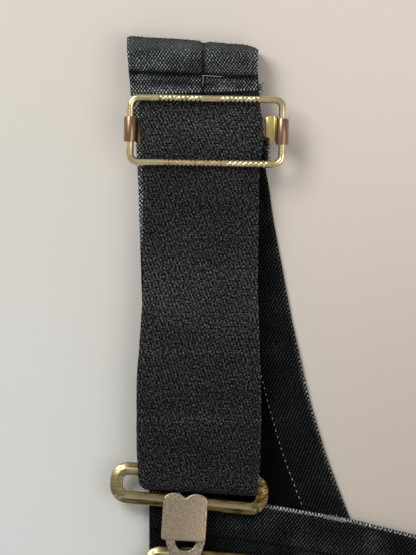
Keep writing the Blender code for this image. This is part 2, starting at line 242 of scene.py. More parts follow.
@dataclass(frozen=True)
class CanvasFinish:
    """Washed duck canvas: pale yarn showing in staggered dots over near-black yarn."""

    name: str = "washed_canvas"
    pitch: float = 1.04
    row: float = 0.72
    ground: Colour = (0.0008, 0.0010, 0.0012)
    washed: Colour = (0.034, 0.038, 0.043)
    yarn: Colour = (0.060, 0.066, 0.067)
    worn: Colour = (0.80, 0.88, 0.88)
    fuzz: Colour = (0.110, 0.112, 0.114)

    def material(self) -> bpy.types.Material:
        """Builds the material.

        Returns:
            The canvas, whose dots brighten with the painted wear and darken with the painted shade held in
            the same attribute.
        """
        board = Board(self.name)
        place = board.cloth()
        wander = board.clouds(place, 0.8, 3.0) - 0.5
        parts = [board.node("ShaderNodeSeparateXYZ", None, {0: place}, axis) for axis in "XY"]
        across = (parts[0] + wander * 0.34) * (2 * pi / self.pitch)
        along = (parts[1] + wander * 0.26) * (pi / self.row)
        floats = across.cosine() * along.cosine()
        dots = floats.step(-0.05, 0.62)
        patch = board.clouds(place, 0.12, 3.0).step(0.30, 0.72)
        grain = board.clouds(place, 1.3, 2.0).step(0.30, 0.68)
        # This attribute holds wear. On the strap's crease and pinch, and on the back panel's inner face, it
        # also holds painted shade: low values darken the dots and the yarn under them.
        wear_and_painted_light = board.attribute("wear_and_painted_light")
        rubbed_and_shaded = wear_and_painted_light.step(0.0, 1.0)
        share = dots * (grain * 0.7 + 0.3) * (patch * 0.4 + 0.6) * (wear_and_painted_light * 0.6 + 0.75)
        bright = board.mix(rubbed_and_shaded * (grain * 0.6 + 0.4), self.yarn, self.worn)
        under = board.mix(rubbed_and_shaded * (patch * 0.6 + 0.4), self.ground, self.washed)
        colour = board.mix(share, under, bright)
        down = board.clouds(place, 2.6, 4.0).step(0.32, 0.70)
        fluff = board.mix(down, tuple(c * 0.35 for c in self.fuzz), self.fuzz)
        colour = board.mix(board.attribute("fuzz"), colour, fluff)
        height = floats * 0.5 + down * 0.35
        return board.dress(Base_Color=colour, Roughness=0.95, Specular_IOR_Level=0.03,
                           Normal=board.bump(height, 0.00022))


@dataclass(frozen=True)
class ElasticFinish:
    """Crinkled rubber webbing: short slanted flecks of pale grey on charcoal."""

    name: str = "ribbed_elastic"
    rib: float = 1.10
    row: float = 0.74
    ground: Colour = (0.0012, 0.0012, 0.0015)
    fleck: Colour = (0.255, 0.255, 0.268)
    rust: Colour = (0.060, 0.018, 0.016)

    def material(self) -> bpy.types.Material:
        """Builds the material.

        Returns:
            The webbing, lighter where wear is painted and reddish where fuzz is.
        """
        board = Board(self.name)
        place = board.cloth()
        wander = board.clouds(place, 0.95, 3.0) - 0.5
        parts = [board.node("ShaderNodeSeparateXYZ", None, {0: place}, axis) for axis in "XY"]
        across = (parts[0] + parts[1] * 0.35 + wander * 1.5) * (2 * pi / self.rib)
        along = (parts[1] + wander * 0.9) * (pi / self.row)
        loops = across.cosine() * along.cosine()
        grain = board.clouds(place, 1.5, 3.0).step(0.36, 0.66)
        flecks = (loops.step(-0.15, 0.95) * 0.7 + 0.3 * grain) * (grain * 0.85 + 0.15)
        patch = board.clouds(board.scaled(place, (0.6, 1.0, 1.0)), 0.10, 3.0).step(0.25, 0.75)
        wear_and_painted_light = board.attribute("wear_and_painted_light")
        share = flecks * (patch * 0.3 + 0.7) * (wear_and_painted_light * 1.0 + 0.30)
        colour = board.mix(share, self.ground, self.fleck)
        colour = board.mix(board.attribute("fuzz") * 0.5, colour, self.rust)
        height = loops * 0.5 + grain * 0.6
        return board.dress(Base_Color=colour, Roughness=0.92, Specular_IOR_Level=0.06,
                           Normal=board.bump(height, 0.00026))


@dataclass(frozen=True)
class ThreadFinish:
    """Twisted sewing thread."""

    name: str
    colour: Colour

    def material(self) -> bpy.types.Material:
        """Builds the material."""
        board = Board(self.name)
        place = board.solid()
        twist = board.clouds(place, 3500.0, 2.0).step(0.3, 0.7)
        soiled = board.clouds(place, 160.0, 2.0).step(0.25, 0.75)
        dark = tuple(c * 0.45 for c in self.colour)
        colour = board.mix(twist * 0.5 + soiled * 0.5, dark, self.colour)
        return board.dress(Base_Color=colour, Roughness=0.8, Normal=board.bump(twist, 0.00005))


@dataclass(frozen=True)
class PlatedMetal:
    """Plated sheet or wire: streaky plating, tarnish in patches, and an edge colour for rubbed edges and
    painted highlights.
    """

    name: str
    plate: Colour
    tarnish: Colour
    edge: Colour
    roughness: float = 0.25
    tarnished: float = 0.5
    streak: tuple[float, float, float] = (1.0, 1.0, 1.0)
    patch: float = 260.0
    grain: float = 0.00002

    def material(self) -> bpy.types.Material:
        """Builds the material.

        Returns:
            The metal, which turns to the edge colour where wear and painted highlights are painted.
        """
        board = Board(self.name)
        place = board.scaled(board.solid(), self.streak)
        patch = board.clouds(place, self.patch, 4.0).step(0.38, 0.62)
        fine = board.clouds(place, 1500.0, 3.0)
        colour = board.mix(patch * self.tarnished, self.plate, self.tarnish)
        # On the ring the edge colour is laid as painted highlights and a painted reflection; elsewhere it is
        # rubbed plating.
        colour = board.mix(board.attribute("wear_and_painted_light"), colour, self.edge)
        rough = self.roughness + patch * 0.12 + fine * 0.10
        return board.dress(Base_Color=colour, Metallic=1.0, Roughness=rough,
                           Normal=board.bump(fine + patch * 0.6, self.grain, 0.6))


@dataclass(frozen=True)
class FloorFinish:
    """Pale table with painted lighting: brighter at the top, darkest at the bottom right, warmer at the right
    and cooler at the left.
    """

    name: str = "pale_table"
    low: Point = (-0.063, -0.074)
    high: Point = (0.070, 0.103)
    # The corner colours hold painted light falloff: the bottom right is painted darkest.
    corners: tuple[Colour, ...] = ((0.72, 0.735, 0.715), (0.58, 0.515, 0.440),
                                   (0.745, 0.705, 0.635), (0.80, 0.715, 0.640))

    def material(self) -> bpy.types.Material:
        """Builds the material."""
        board = Board(self.name)
        place = board.solid()
        x, y = (board.node("ShaderNodeSeparateXYZ", None, {0: place}, axis) for axis in "XY")
        right = x.step(self.low[0], self.high[0])
        top = y.step(self.low[1], self.high[1])
        near = board.mix(right, self.corners[0], self.corners[1])
        far = board.mix(right, self.corners[2], self.corners[3])
        return board.dress(Base_Color=board.mix(top, near, far), Roughness=0.7,
                           Specular_IOR_Level=0.1)


# ---------------------------------------------------------------- shared ways of making


@lru_cache(maxsize=None)
def mid_z(node: str) -> float:
    """Middle level of a CAD node."""
    low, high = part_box(node)
    return (low.z + high.z) / 2


@lru_cache(maxsize=None)
def centre(node: str) -> Vector:
    """Middle of a CAD node's box."""
    low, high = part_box(node)
    return (low + high) / 2


def mid_z_top(node: str, thickness: float) -> float:
    """Middle level of a plate that lies at the top of its node."""
    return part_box(node)[1].z - thickness / 2


def bell(distance: float, width: float) -> float:
    """Smooth hump of height 1 about 0."""
    return exp(-((distance / width) ** 2))


def ease(value: float, low: float, high: float) -> float:
    """Smooth step from 0 at low to 1 at high."""
    t = min(max((value - low) / (high - low), 0.0), 1.0)
    return t * t * (3 - 2 * t)


def ripple(x: float, y: float, size: float, seed: float) -> float:
    """Smooth noise from -1 to 1, of a given size in metres."""
    return noise.noise(Vector((x / size, y / size, seed)))


def edge_x(edge: Sequence[Point], y: float, rounding: float = 0.004) -> float:
    """Reads a side edge.

    Args:
        edge: its (x, y) corners, from the top down.
        y: where it is read.
        rounding: how far each corner is rounded off.

    Returns:
        Its x at y.
    """
    total = 0.0
    offsets = (-1.0, -0.5, 0.0, 0.5, 1.0)
    for offset in offsets:
        at = y + offset * rounding
        for (x0, y0), (x1, y1) in zip(edge, edge[1:]):
            if at >= y1 or (x1, y1) == edge[-1]:
                total += x0 + (x1 - x0) * min(max((y0 - at) / (y0 - y1), 0.0), 1.0)
                break
    return total / len(offsets)


def deselect() -> None:
    """Leaves edit mode, with nothing selected."""
    if bpy.context.object and bpy.context.object.mode != "OBJECT":
        bpy.ops.object.mode_set(mode="OBJECT")
    bpy.ops.object.select_all(action="DESELECT")


def pick(piece: bpy.types.Object) -> None:
    """Makes one piece the only one selected."""
    deselect()
    piece.select_set(True)
    bpy.context.view_layer.objects.active = piece


def add_modifier(piece: bpy.types.Object, kind: str, **settings: Any) -> None:
    """Adds a modifier with its settings, and applies it."""
    pick(piece)
    change = piece.modifiers.new(kind.title(), kind)
    for key, value in settings.items():
        setattr(change, key, value)
    bpy.ops.object.modifier_apply(modifier=change.name)


def close_up(piece: bpy.types.Object, merge: float = 0.000002) -> None:
    """Merges doubled points and turns the faces outwards."""
    pick(piece)
    bpy.ops.object.mode_set(mode="EDIT")
    bpy.ops.mesh.select_all(action="SELECT")
    bpy.ops.mesh.remove_doubles(threshold=merge)
    bpy.ops.mesh.normals_make_consistent(inside=False)
    bpy.ops.object.mode_set(mode="OBJECT")


def put(piece: bpy.types.Object, place: Vector, turn: float = 0.0) -> None:
    """Moves and turns a piece made about the origin, and leaves its place in its mesh."""
    pick(piece)
    piece.location = place
    piece.rotation_euler = (0.0, 0.0, turn)
    bpy.ops.object.transform_apply(location=True, rotation=True, scale=True)


def join(name: str, pieces: Sequence[bpy.types.Object]) -> bpy.types.Object:
    """Joins pieces into the first one, under a new name."""
    deselect()
    for piece in pieces:
        piece.select_set(True)
    bpy.context.view_layer.objects.active = pieces[0]
    bpy.ops.object.join()
    pieces[0].name = name
    pieces[0].data.name = name
    return pieces[0]


def paint(piece: bpy.types.Object, name: str, values: Sequence[float]) -> None:
    """Paints a number on each point of a mesh."""
    layer = piece.data.attributes.get(name) or piece.data.attributes.new(name, "FLOAT", "POINT")
    layer.data.foreach_set("value", values)


def rub_edges(piece: bpy.types.Object, flat: float, amount: float) -> None:
    """Paints wear where a metal piece's faces turn away from the front.

    Args:
        piece: the piece.
        flat: upward part of the normal above which there's no wear.
        amount: wear at the sides.
    """
    values = [amount * (1 - ease(v.normal.z, flat - 0.5, flat)) for v in piece.data.vertices]
    paint(piece, "wear_and_painted_light", values)


def finish_metal(piece: bpy.types.Object, metal: bpy.types.Material, bevel: float) -> None:
    """Rounds the edges of a hard piece, smooths it and gives it its metal."""
    if bevel:
        add_modifier(piece, "BEVEL", width=bevel, segments=2, limit_method="ANGLE",
                     angle_limit=radians(30))
    pick(piece)
    bpy.ops.object.shade_smooth_by_angle(angle=radians(35))
    piece.data.materials.clear()
    piece.data.materials.append(metal)


def settle(piece: bpy.types.Object, body: str, slot: Slot, *nodes: str) -> bpy.types.Object:
    """Ties a piece to its body and hides the CAD nodes that it stands for."""
    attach(piece, body)
    if nodes:
        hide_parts(*nodes)
    LOG.info("%s: %d faces on %s", piece.name, len(piece.data.polygons), body)
    return piece


def weave(name: str, rows: Sequence[Sequence[Vector]], thickness: float,
          finish: bpy.types.Material, look: Look, anchor: int = 0,
          counted_from: float = 0.0) -> bpy.types.Object:
    """Makes a sheet of cloth from rows of points.

    Args:
        name: the piece's name.
        rows: points across the cloth, row by row, in the middle of its thickness.
        thickness: the cloth's thickness.
        finish: its material.
        look: wear and fuzz of a point, from its place and its shares across and along.
        anchor: column that the weave is counted from.
        counted_from: millimetres of the same cloth before its first row.

    Returns:
        The closed sheet, with its weave counted in millimetres.
    """
    wide = len(rows[0])
    points = [point for row in rows for point in row]
    faces = [(i * wide + j, i * wide + j + 1, (i + 1) * wide + j + 1, (i + 1) * wide + j)
             for i in range(len(rows) - 1) for j in range(wide - 1)]
    mesh = bpy.data.meshes.new(name)
    mesh.from_pydata(points, [], faces)
    counted: list[tuple[float, float]] = []
    down = counted_from
    for i, row in enumerate(rows):
        if i:
            down += (row[anchor] - rows[i - 1][anchor]).length * MILLIMETRES
        reach = [0.0]
        for a, b in zip(row, row[1:]):
            reach.append(reach[-1] + (b - a).length * MILLIMETRES)
        counted += [(r - reach[anchor], down) for r in reach]
    layer = mesh.uv_layers.new(name="weave")
    for loop in mesh.loops:
        layer.data[loop.index].uv = counted[loop.vertex_index]
    piece = bpy.data.objects.new(name, mesh)
    bpy.context.collection.objects.link(piece)
    looks = [look(p, (k % wide) / (wide - 1), (k // wide) / (len(rows) - 1))
             for k, p in enumerate(points)]
    paint(piece, "wear_and_painted_light", [a for a, _ in looks])
    paint(piece, "fuzz", [b for _, b in looks])
    add_modifier(piece, "SOLIDIFY", thickness=thickness, offset=0.0)
    close_up(piece)
    pick(piece)
    bpy.ops.object.shade_smooth_by_angle(angle=radians(60))
    piece.data.materials.append(finish)
    return piece


def threads(name: str, lines: Sequence[Sequence[Vector]], radius: float,
            finish: bpy.types.Material) -> bpy.types.Object:
    """Makes thin round threads along lines of points.

    Args:
        name: the piece's name.
        lines: the points of each thread.
        radius: half the thread's thickness.
        finish: its material.

    Returns:
        All the threads as one mesh.
    """
    curve = bpy.data.curves.new(name, "CURVE")
    curve.dimensions = "3D"
    curve.bevel_depth = radius
    curve.bevel_resolution = 1
    curve.use_fill_caps = True
    for line in lines:
        spline = curve.splines.new("POLY")
        spline.points.add(len(line) - 1)
        for k, point in enumerate(line):
            spline.points[k].co = (*point, 1.0)
    piece = bpy.data.objects.new(name, curve)
    bpy.context.collection.objects.link(piece)
    pick(piece)
    bpy.ops.object.convert(target="MESH")
    made = bpy.context.object
    close_up(made, 0.0000002)
    pick(made)
    bpy.ops.object.shade_smooth_by_angle(angle=radians(50))
    made.data.materials.clear()
    made.data.materials.append(finish)
    return made


def stitches(name: str, row: Sequence[Vector], finish: bpy.types.Material,
             length: float = 0.0019, gap: float = 0.0011,
             radius: float = 0.00019) -> bpy.types.Object:
    """Makes a row of stitches, each a short thread with both ends sunk in the cloth.

    Args:
        name: the piece's name.
        row: the line that they follow, at the top of the cloth.
        finish: the thread's material.
        length: length of a stitch.
        gap: room between two stitches.
        radius: half the thread's thickness.

    Returns:
        The row as one mesh.
    """
    lines = []
    for a, b in zip(row, row[1:]):
        step = (b - a).normalized()
        count = max(int((b - a).length / (length + gap)), 1)
        for k in range(count):
            start = a + step * k * (length + gap)
            rise = 1 + 0.3 * noise.noise(start * 900)
            lines.append([start + step * length * t + UP * (0.00034 * rise * h - 0.0002)
                          for t, h in ((0.0, 0.0), (0.16, 0.8), (0.5, 1.0), (0.84, 0.8), (1.0, 0.0))])
    return threads(name, lines, radius, finish)


def frayed(rng: random.Random, start: Vector, heading: Vector, length: float,
           curl: float) -> list[Vector]:
    """One loose thread.

    Args:
        rng: seeded numbers.
        start: where it leaves the cloth.
        heading: the way that it sets off.
        length: its length.
        curl: how much it strays at each step.

    Returns:
        Its points.
    """
    points = [start.copy()]
    way = heading.normalized()
    for _ in range(6):
        way += Vector((rng.uniform(-curl, curl), rng.uniform(-curl, curl),
                       rng.uniform(-curl, curl) * 0.4))
        way.normalize()
        points.append(points[-1] + way * length / 6)
    return points


class BarRun:
    """A bar drawn out of one cross-section, as wire and strip are bent round a jig."""

    def __init__(self, name: str, place: Vector, heading: Vector, size: Point, sides: int,
                 section: Sequence[Point] = ()) -> None:
        """Lays down the cross-section.

        Args:
            name: the piece's name.
            place: middle of the section.
            heading: the way that it is drawn.
            size: its width across and its height.
            sides: number of sides, where 4 is a flat strip.
            section: shares of the width and the height where each corner goes.
        """
        deselect()
        turn = heading.to_track_quat("Z", "Y").to_euler()
        if sides == 4:
            bpy.ops.mesh.primitive_plane_add(size=1.0, location=place, rotation=turn)
        else:
            bpy.ops.mesh.primitive_circle_add(vertices=sides, radius=0.5, location=place,
                                              rotation=turn)
        self.piece = bpy.context.object
        self.piece.name = name
        self.piece.data.name = name
        self.place = place.copy()
        self.heading = heading.normalized()
        bpy.ops.object.mode_set(mode="EDIT")
        bpy.ops.mesh.select_all(action="SELECT")
        if section:
            form = bmesh.from_edit_mesh(self.piece.data)
            for corner, (across, rise) in zip(form.verts, section):
                corner.co = (-across, rise, 0.0)
            bmesh.update_edit_mesh(self.piece.data)
        depth = Vector((1.0, 1.0, 1.0))
        flat = abs(self.heading.y) < 0.5
        if flat and abs(self.heading.z) < 0.99:
            depth = Vector((size[1], size[0], size[1]))
        self.resize(depth)

    def resize(self, by: Vector, about: Vector | None = None) -> None:
        """Stretches the last section."""
        pivot = self.place if about is None else about
        bpy.ops.transform.resize(value=by, center_override=pivot)

    def shift(self, by: Vector) -> None:
        """Moves the last section sideways."""
        bpy.ops.transform.translate(value=by)
        self.place += by

    def run(self, length: float, steps: int = 1) -> None:
        """Draws the bar straight on."""
        for _ in range(steps):
            move = self.heading * (length / steps)
            bpy.ops.mesh.extrude_region_move(TRANSFORM_OT_translate={"value": move})
            self.place += move

    def turn(self, angle: float, radius: float, axis: Vector, steps: int = 8) -> None:
        """Bends the bar round an axis, to its right-handed side."""
        side = axis.cross(self.heading)
        middle = self.place + side * radius
        bpy.ops.mesh.spin(steps=steps, angle=-angle, center=middle, axis=axis)
        self.heading = Matrix.Rotation(angle, 3, axis) @ self.heading
        self.place = middle - axis.cross(self.heading) * radius

    def notch(self, pitch: float, share: float, about: Vector) -> None:
        """Draws one length of bar with a groove in it, deepest away from a line."""
        self.run(pitch * 0.30)
        self.run(pitch * 0.18)
        pivot = Vector((self.place.x, about.y, about.z))
        self.resize(Vector((1.0, share, share)), pivot)
        self.run(pitch * 0.14)
        self.run(pitch * 0.18)
        pivot = Vector((self.place.x, about.y, about.z))
        self.resize(Vector((1.0, 1 / share, 1 / share)), pivot)
        self.run(pitch * 0.20)

    def done(self) -> bpy.types.Object:
        """Leaves edit mode, applies the place, and closes the bar."""
        bpy.ops.object.mode_set(mode="OBJECT")
        bpy.ops.object.transform_apply(location=True, rotation=True, scale=True)
        close_up(self.piece)
        return self.piece


def cut_plate(name: str, outlines: Sequence[Sequence[Point]], thickness: float,
              rim: float) -> bpy.types.Object:
    """Cuts a flat plate with rounded rims about the origin.

    Args:
        name: the piece's name.
        outlines: its outline, and its holes.
        thickness: its thickness.
        rim: rounding of its rims.

    Returns:
        The plate as a closed mesh.
    """
    curve = bpy.data.curves.new(name, "CURVE")
    curve.dimensions = "2D"
    curve.fill_mode = "BOTH"
    curve.extrude = thickness / 2 - rim
    curve.bevel_depth = rim
    curve.bevel_resolution = 3
    curve.offset = -rim
    for outline in outlines:
        spline = curve.splines.new("POLY")
        spline.points.add(len(outline) - 1)
        for k, (x, y) in enumerate(outline):
            spline.points[k].co = (x, y, 0.0, 1.0)
        spline.use_cyclic_u = True
    piece = bpy.data.objects.new(name, curve)
    bpy.context.collection.objects.link(piece)
    pick(piece)
    bpy.ops.object.convert(target="MESH")
    made = bpy.context.object
    close_up(made)
    return made


def arc(middle: Point, radius: Point, start: float, end: float, steps: int) -> list[Point]:
    """Points of a round stretch.

    Args:
        middle: its centre.
        radius: its radius along each axis.
        start: first angle, in degrees.
        end: last angle, in degrees.
        steps: number of steps.

    Returns:
        The points, both ends among them.
    """
    angles = [radians(start + (end - start) * k / steps) for k in range(steps + 1)]
    return [(middle[0] + radius[0] * cos(a), middle[1] + radius[1] * sin(a)) for a in angles]


def spaced(path: Sequence[Point], step: float) -> list[Point]:
    """The same path with points no further apart than a step."""
    out = [path[0]]
    for (x0, y0), (x1, y1) in zip(path, path[1:]):
        count = max(int(((x1 - x0) ** 2 + (y1 - y0) ** 2) ** 0.5 / step), 1)
        out += [(x0 + (x1 - x0) * k / count, y0 + (y1 - y0) * k / count)
                for k in range(1, count + 1)]
    return out


# ---------------------------------------------------------------- the strap's cloth


@dataclass
class ShoulderCanvas:
    """Canvas of the strap: over the shoulder, down the front and under at its hem."""

    thickness: float = 0.00055
    left: tuple[Point, ...] = ((-0.0227, 0.0864), (-0.0214, 0.0728))
    right: tuple[Point, ...] = ((0.0193, 0.0864), (0.0187, 0.0742))
    fold_y: float = 0.0867
    fold_reach: tuple[Point, ...] = ((0.0004, 0.0194), (0.0015, 0.0180), (0.0023, 0.0150),
                                     (0.0027, 0.0090), (0.0032, 0.0036), (0.0028, 0.0016),
                                     (0.0036, 0.0002), (0.0042, -0.0070), (0.0046, -0.0150),
                                     (0.0051, -0.0215), (0.0046, -0.0228))
    hem: Point = (0.0729, 0.0744)
    hem_height: float = 0.0054
    turn: float = 0.00036
    pinch_x: float = 0.0017
    crease: Point = (0.0792, -0.040)
    flat: Point = (0.0416, 0.0365)

    def relief(self, x: float, y: float, hem: float) -> float:
        """Height of the front leaf's surface over its even level."""
        crease = self.crease[0] + self.crease[1] * x
        band = 1 - ease(y, crease - 0.0004, crease + 0.0006)
        off = x - self.pinch_x
        high_up = ease(y, 0.0815, 0.0850)
        height = band * 0.00034 - 0.00052 * bell(y - crease - 0.0003, 0.0007)
        height -= 0.00075 * bell(off, 0.0008) * (0.35 + 0.65 * high_up)
        puffs = bell(off - 0.0055, 0.0045) + bell(off + 0.0060, 0.0060)
        height += 0.00050 * puffs * bell(y - 0.0842, 0.0026)
        height += 0.00030 * ripple(x, y, 0.0055, 2.0) + 0.00006 * ripple(x, y, 0.0012, 5.0)
        return height

    def rows(self) -> list[list[Vector]]:
        """Points of the canvas, from the back panel's level to its tucked edge."""
        low = mid_z("back_panel") + 0.00005
        high = mid_z("strap_canvas") + 0.00015
        middle, lift = (low + high) / 2, (high - low) / 2
        columns = [k / 104 for k in range(105)]
        rows = []
        for k in range(28):
            angle = radians(-90 + 180 * k / 27)
            row = []
            for s in columns:
                x = self.left[0][0] + (self.right[0][0] - self.left[0][0]) * s
                reach = edge_x(self.fold_reach, x, 0.0006) + 0.00015 * ripple(x, 0.0, 0.003, 7.0)
                reach -= 0.00025 * bell(sin(angle) - 0.75, 0.2) * ripple(x, 0.0, 0.004, 2.0)
                row.append(Vector((x, self.fold_y + reach * cos(angle), middle + lift * sin(angle)
                                   + 0.0001 * ripple(x, angle * 0.003, 0.003, 3.0))))
            rows.append(row)
        for k in range(1, 36):
            rows.append([self.leaf(s, k / 35, high) for s in columns])
        for k in range(1, 8):
            angle = pi * k / 7
            row = []
            for last in rows[27 + 35]:
                row.append(last + Vector((0.0, -self.turn * sin(angle), self.turn * (cos(angle) - 1))))
            rows.append(row)
        end = rows[-1]
        for k in range(1, 5):
            rows.append([p + ALONG * (self.hem_height * k / 4) - UP * (p.z - end[0].z) * k / 4
                         for p in end])
        return rows

    def leaf(self, s: float, t: float, high: float) -> Vector:
        """A point of the front leaf, from its shares across and down."""
        hem = self.hem[0] + (self.hem[1] - self.hem[0]) * s + self.turn
        y = self.fold_y + (hem - self.fold_y) * t
        left, right = edge_x(self.left, y), edge_x(self.right, y)
        x = left + (right - left) * s
        return Vector((x, y, high + self.relief(x, y, hem) * ease(t, 0.0, 0.1)))

    def look(self, point: Vector, s: float, t: float) -> tuple[float, float]:
        """Wear at the hem and the sides, painted shade in the crease and at the pinch, and fuzz over the
        fold.
        """
        hem = self.hem[0] + (self.hem[1] - self.hem[0]) * s
        sides = bell(s, 0.02) + bell(1 - s, 0.02)
        crease = point.y - self.crease[0] - self.crease[1] * point.x
        pinch = bell(point.x - self.pinch_x, 0.0006)
        wear_and_painted_light = 0.50 + 0.22 * ripple(point.x, point.y, 0.005, 4.0) + 0.25 * sides
        # The crease terms and the pinch term lower the value: painted shade in the crease and in the pinch,
        # where the dots go dark.
        wear_and_painted_light += 0.22 * bell(point.y - hem - 0.0008, 0.0014) - 0.55 * bell(crease, 0.0009)
        wear_and_painted_light -= 0.45 * pinch + 0.25 * bell(crease + 0.0030, 0.0010)
        fuzz = 0.75 * ease(point.y, 0.0864, 0.0876) * (0.75 + 0.4 * ripple(point.x, point.y, 0.0022, 8.0))
        return min(max(wear_and_painted_light, 0.0), 1.0), min(max(fuzz, 0.0), 0.95)

    def build(self, canvas: bpy.types.Material, pale: bpy.types.Material,
              dark: bpy.types.Material) -> None:
        """Makes the canvas, its facing, its stitches and its loose threads."""
        rows = self.rows()
        made = weave("strap_canvas_fold", rows, self.thickness, canvas, self.look)
        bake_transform(made)
        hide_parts("shoulder_fold", "strap_canvas")
        LOG.info("%s: %d faces", made.name, len(made.data.polygons))
        self.add_facing(canvas)
        self.add_threads(pale, dark)

    def add_facing(self, canvas: bpy.types.Material) -> None:
        """Makes the facing behind the webbing's end."""
        low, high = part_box("strap_facing")
        level = (low.z + high.z) / 2
        rows = []
        for k in range(12):
            t = k / 11
            row = []
            for j in range(30):
                s = j / 29
                hem = self.hem[0] + (self.hem[1] - self.hem[0]) * s + 0.0004
                y = high.y + (hem - high.y) * t
                left, right = edge_x(self.left, y), edge_x(self.right, y)
                x = left + 0.0008 + (right - left - 0.0016) * s
                row.append(Vector((x, y, level + 0.0001 * ripple(x, y, 0.006, 8.0))))
            rows.append(row)
        made = weave("strap_facing_cloth", rows, 0.0006, canvas, lambda p, s, t: (0.1, 0.0))
        settle(made, "front_strap", Slot.CANVAS, "strap_facing")

    def add_threads(self, pale: bpy.types.Material, dark: bpy.types.Material) -> None:
        """Makes the hem's stitches, the loose thread and the frayed corner."""
        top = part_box("strap_canvas")[1].z + 0.00048
        row = []
        for s in (0.04, 0.96):
            hem = self.hem[0] + (self.hem[1] - self.hem[0]) * s
            row.append(Vector((edge_x(self.left, hem) * (1 - s) + edge_x(self.right, hem) * s,
                               hem + 0.0015, top)))
        made = stitches("strap_hem_stitches", row, dark, 0.0013, 0.0016, 0.00014)
        settle(made, "front_strap", Slot.THREAD, "strap_hem_thread")
        rng = random.Random(11)
        start = Vector((0.0012, 0.0790, top - 0.0001))
        loose = [frayed(rng, start, Vector((1.0, -0.06, 0.03)), 0.0066, 0.10)]
        loose.append(frayed(rng, start + Vector((0.0004, -0.0002, 0.0)), Vector((0.1, -1.0, 0.05)),
                            0.0030, 0.16))
        settle(threads("strap_loose_thread", loose, 0.00007, pale), "front_strap", Slot.THREAD)
        corner = Vector((0.0186, 0.0752, top - 0.0010))
        lines = []
        for _ in range(60):
            spot = corner + Vector((rng.uniform(-0.0022, 0.0006), rng.uniform(-0.0014, 0.0008), 0.0))
            lines.append(frayed(rng, spot, Vector((rng.uniform(0.1, 1.0), rng.uniform(-0.9, 0.3), 0.0)),
                                rng.uniform(0.0010, 0.0028), 0.55))
        settle(threads("strap_corner_fray", lines, 0.00009, dark), "front_strap", Slot.CANVAS)
        fluff = []
        for _ in range(170):
            x = self.left[0][0] + (self.right[0][0] - self.left[0][0]) * rng.random()
            reach = edge_x(self.fold_reach, x, 0.0006)
            spot = Vector((x, self.fold_y + reach * 0.97, top - 0.0034))
            fluff.append(frayed(rng, spot, Vector((rng.uniform(-1, 1), 0.7, 0.9)),
                                rng.uniform(0.0004, 0.0009), 0.6))
        made = threads("strap_fold_down", fluff, 0.00004, dark)
        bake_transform(made)


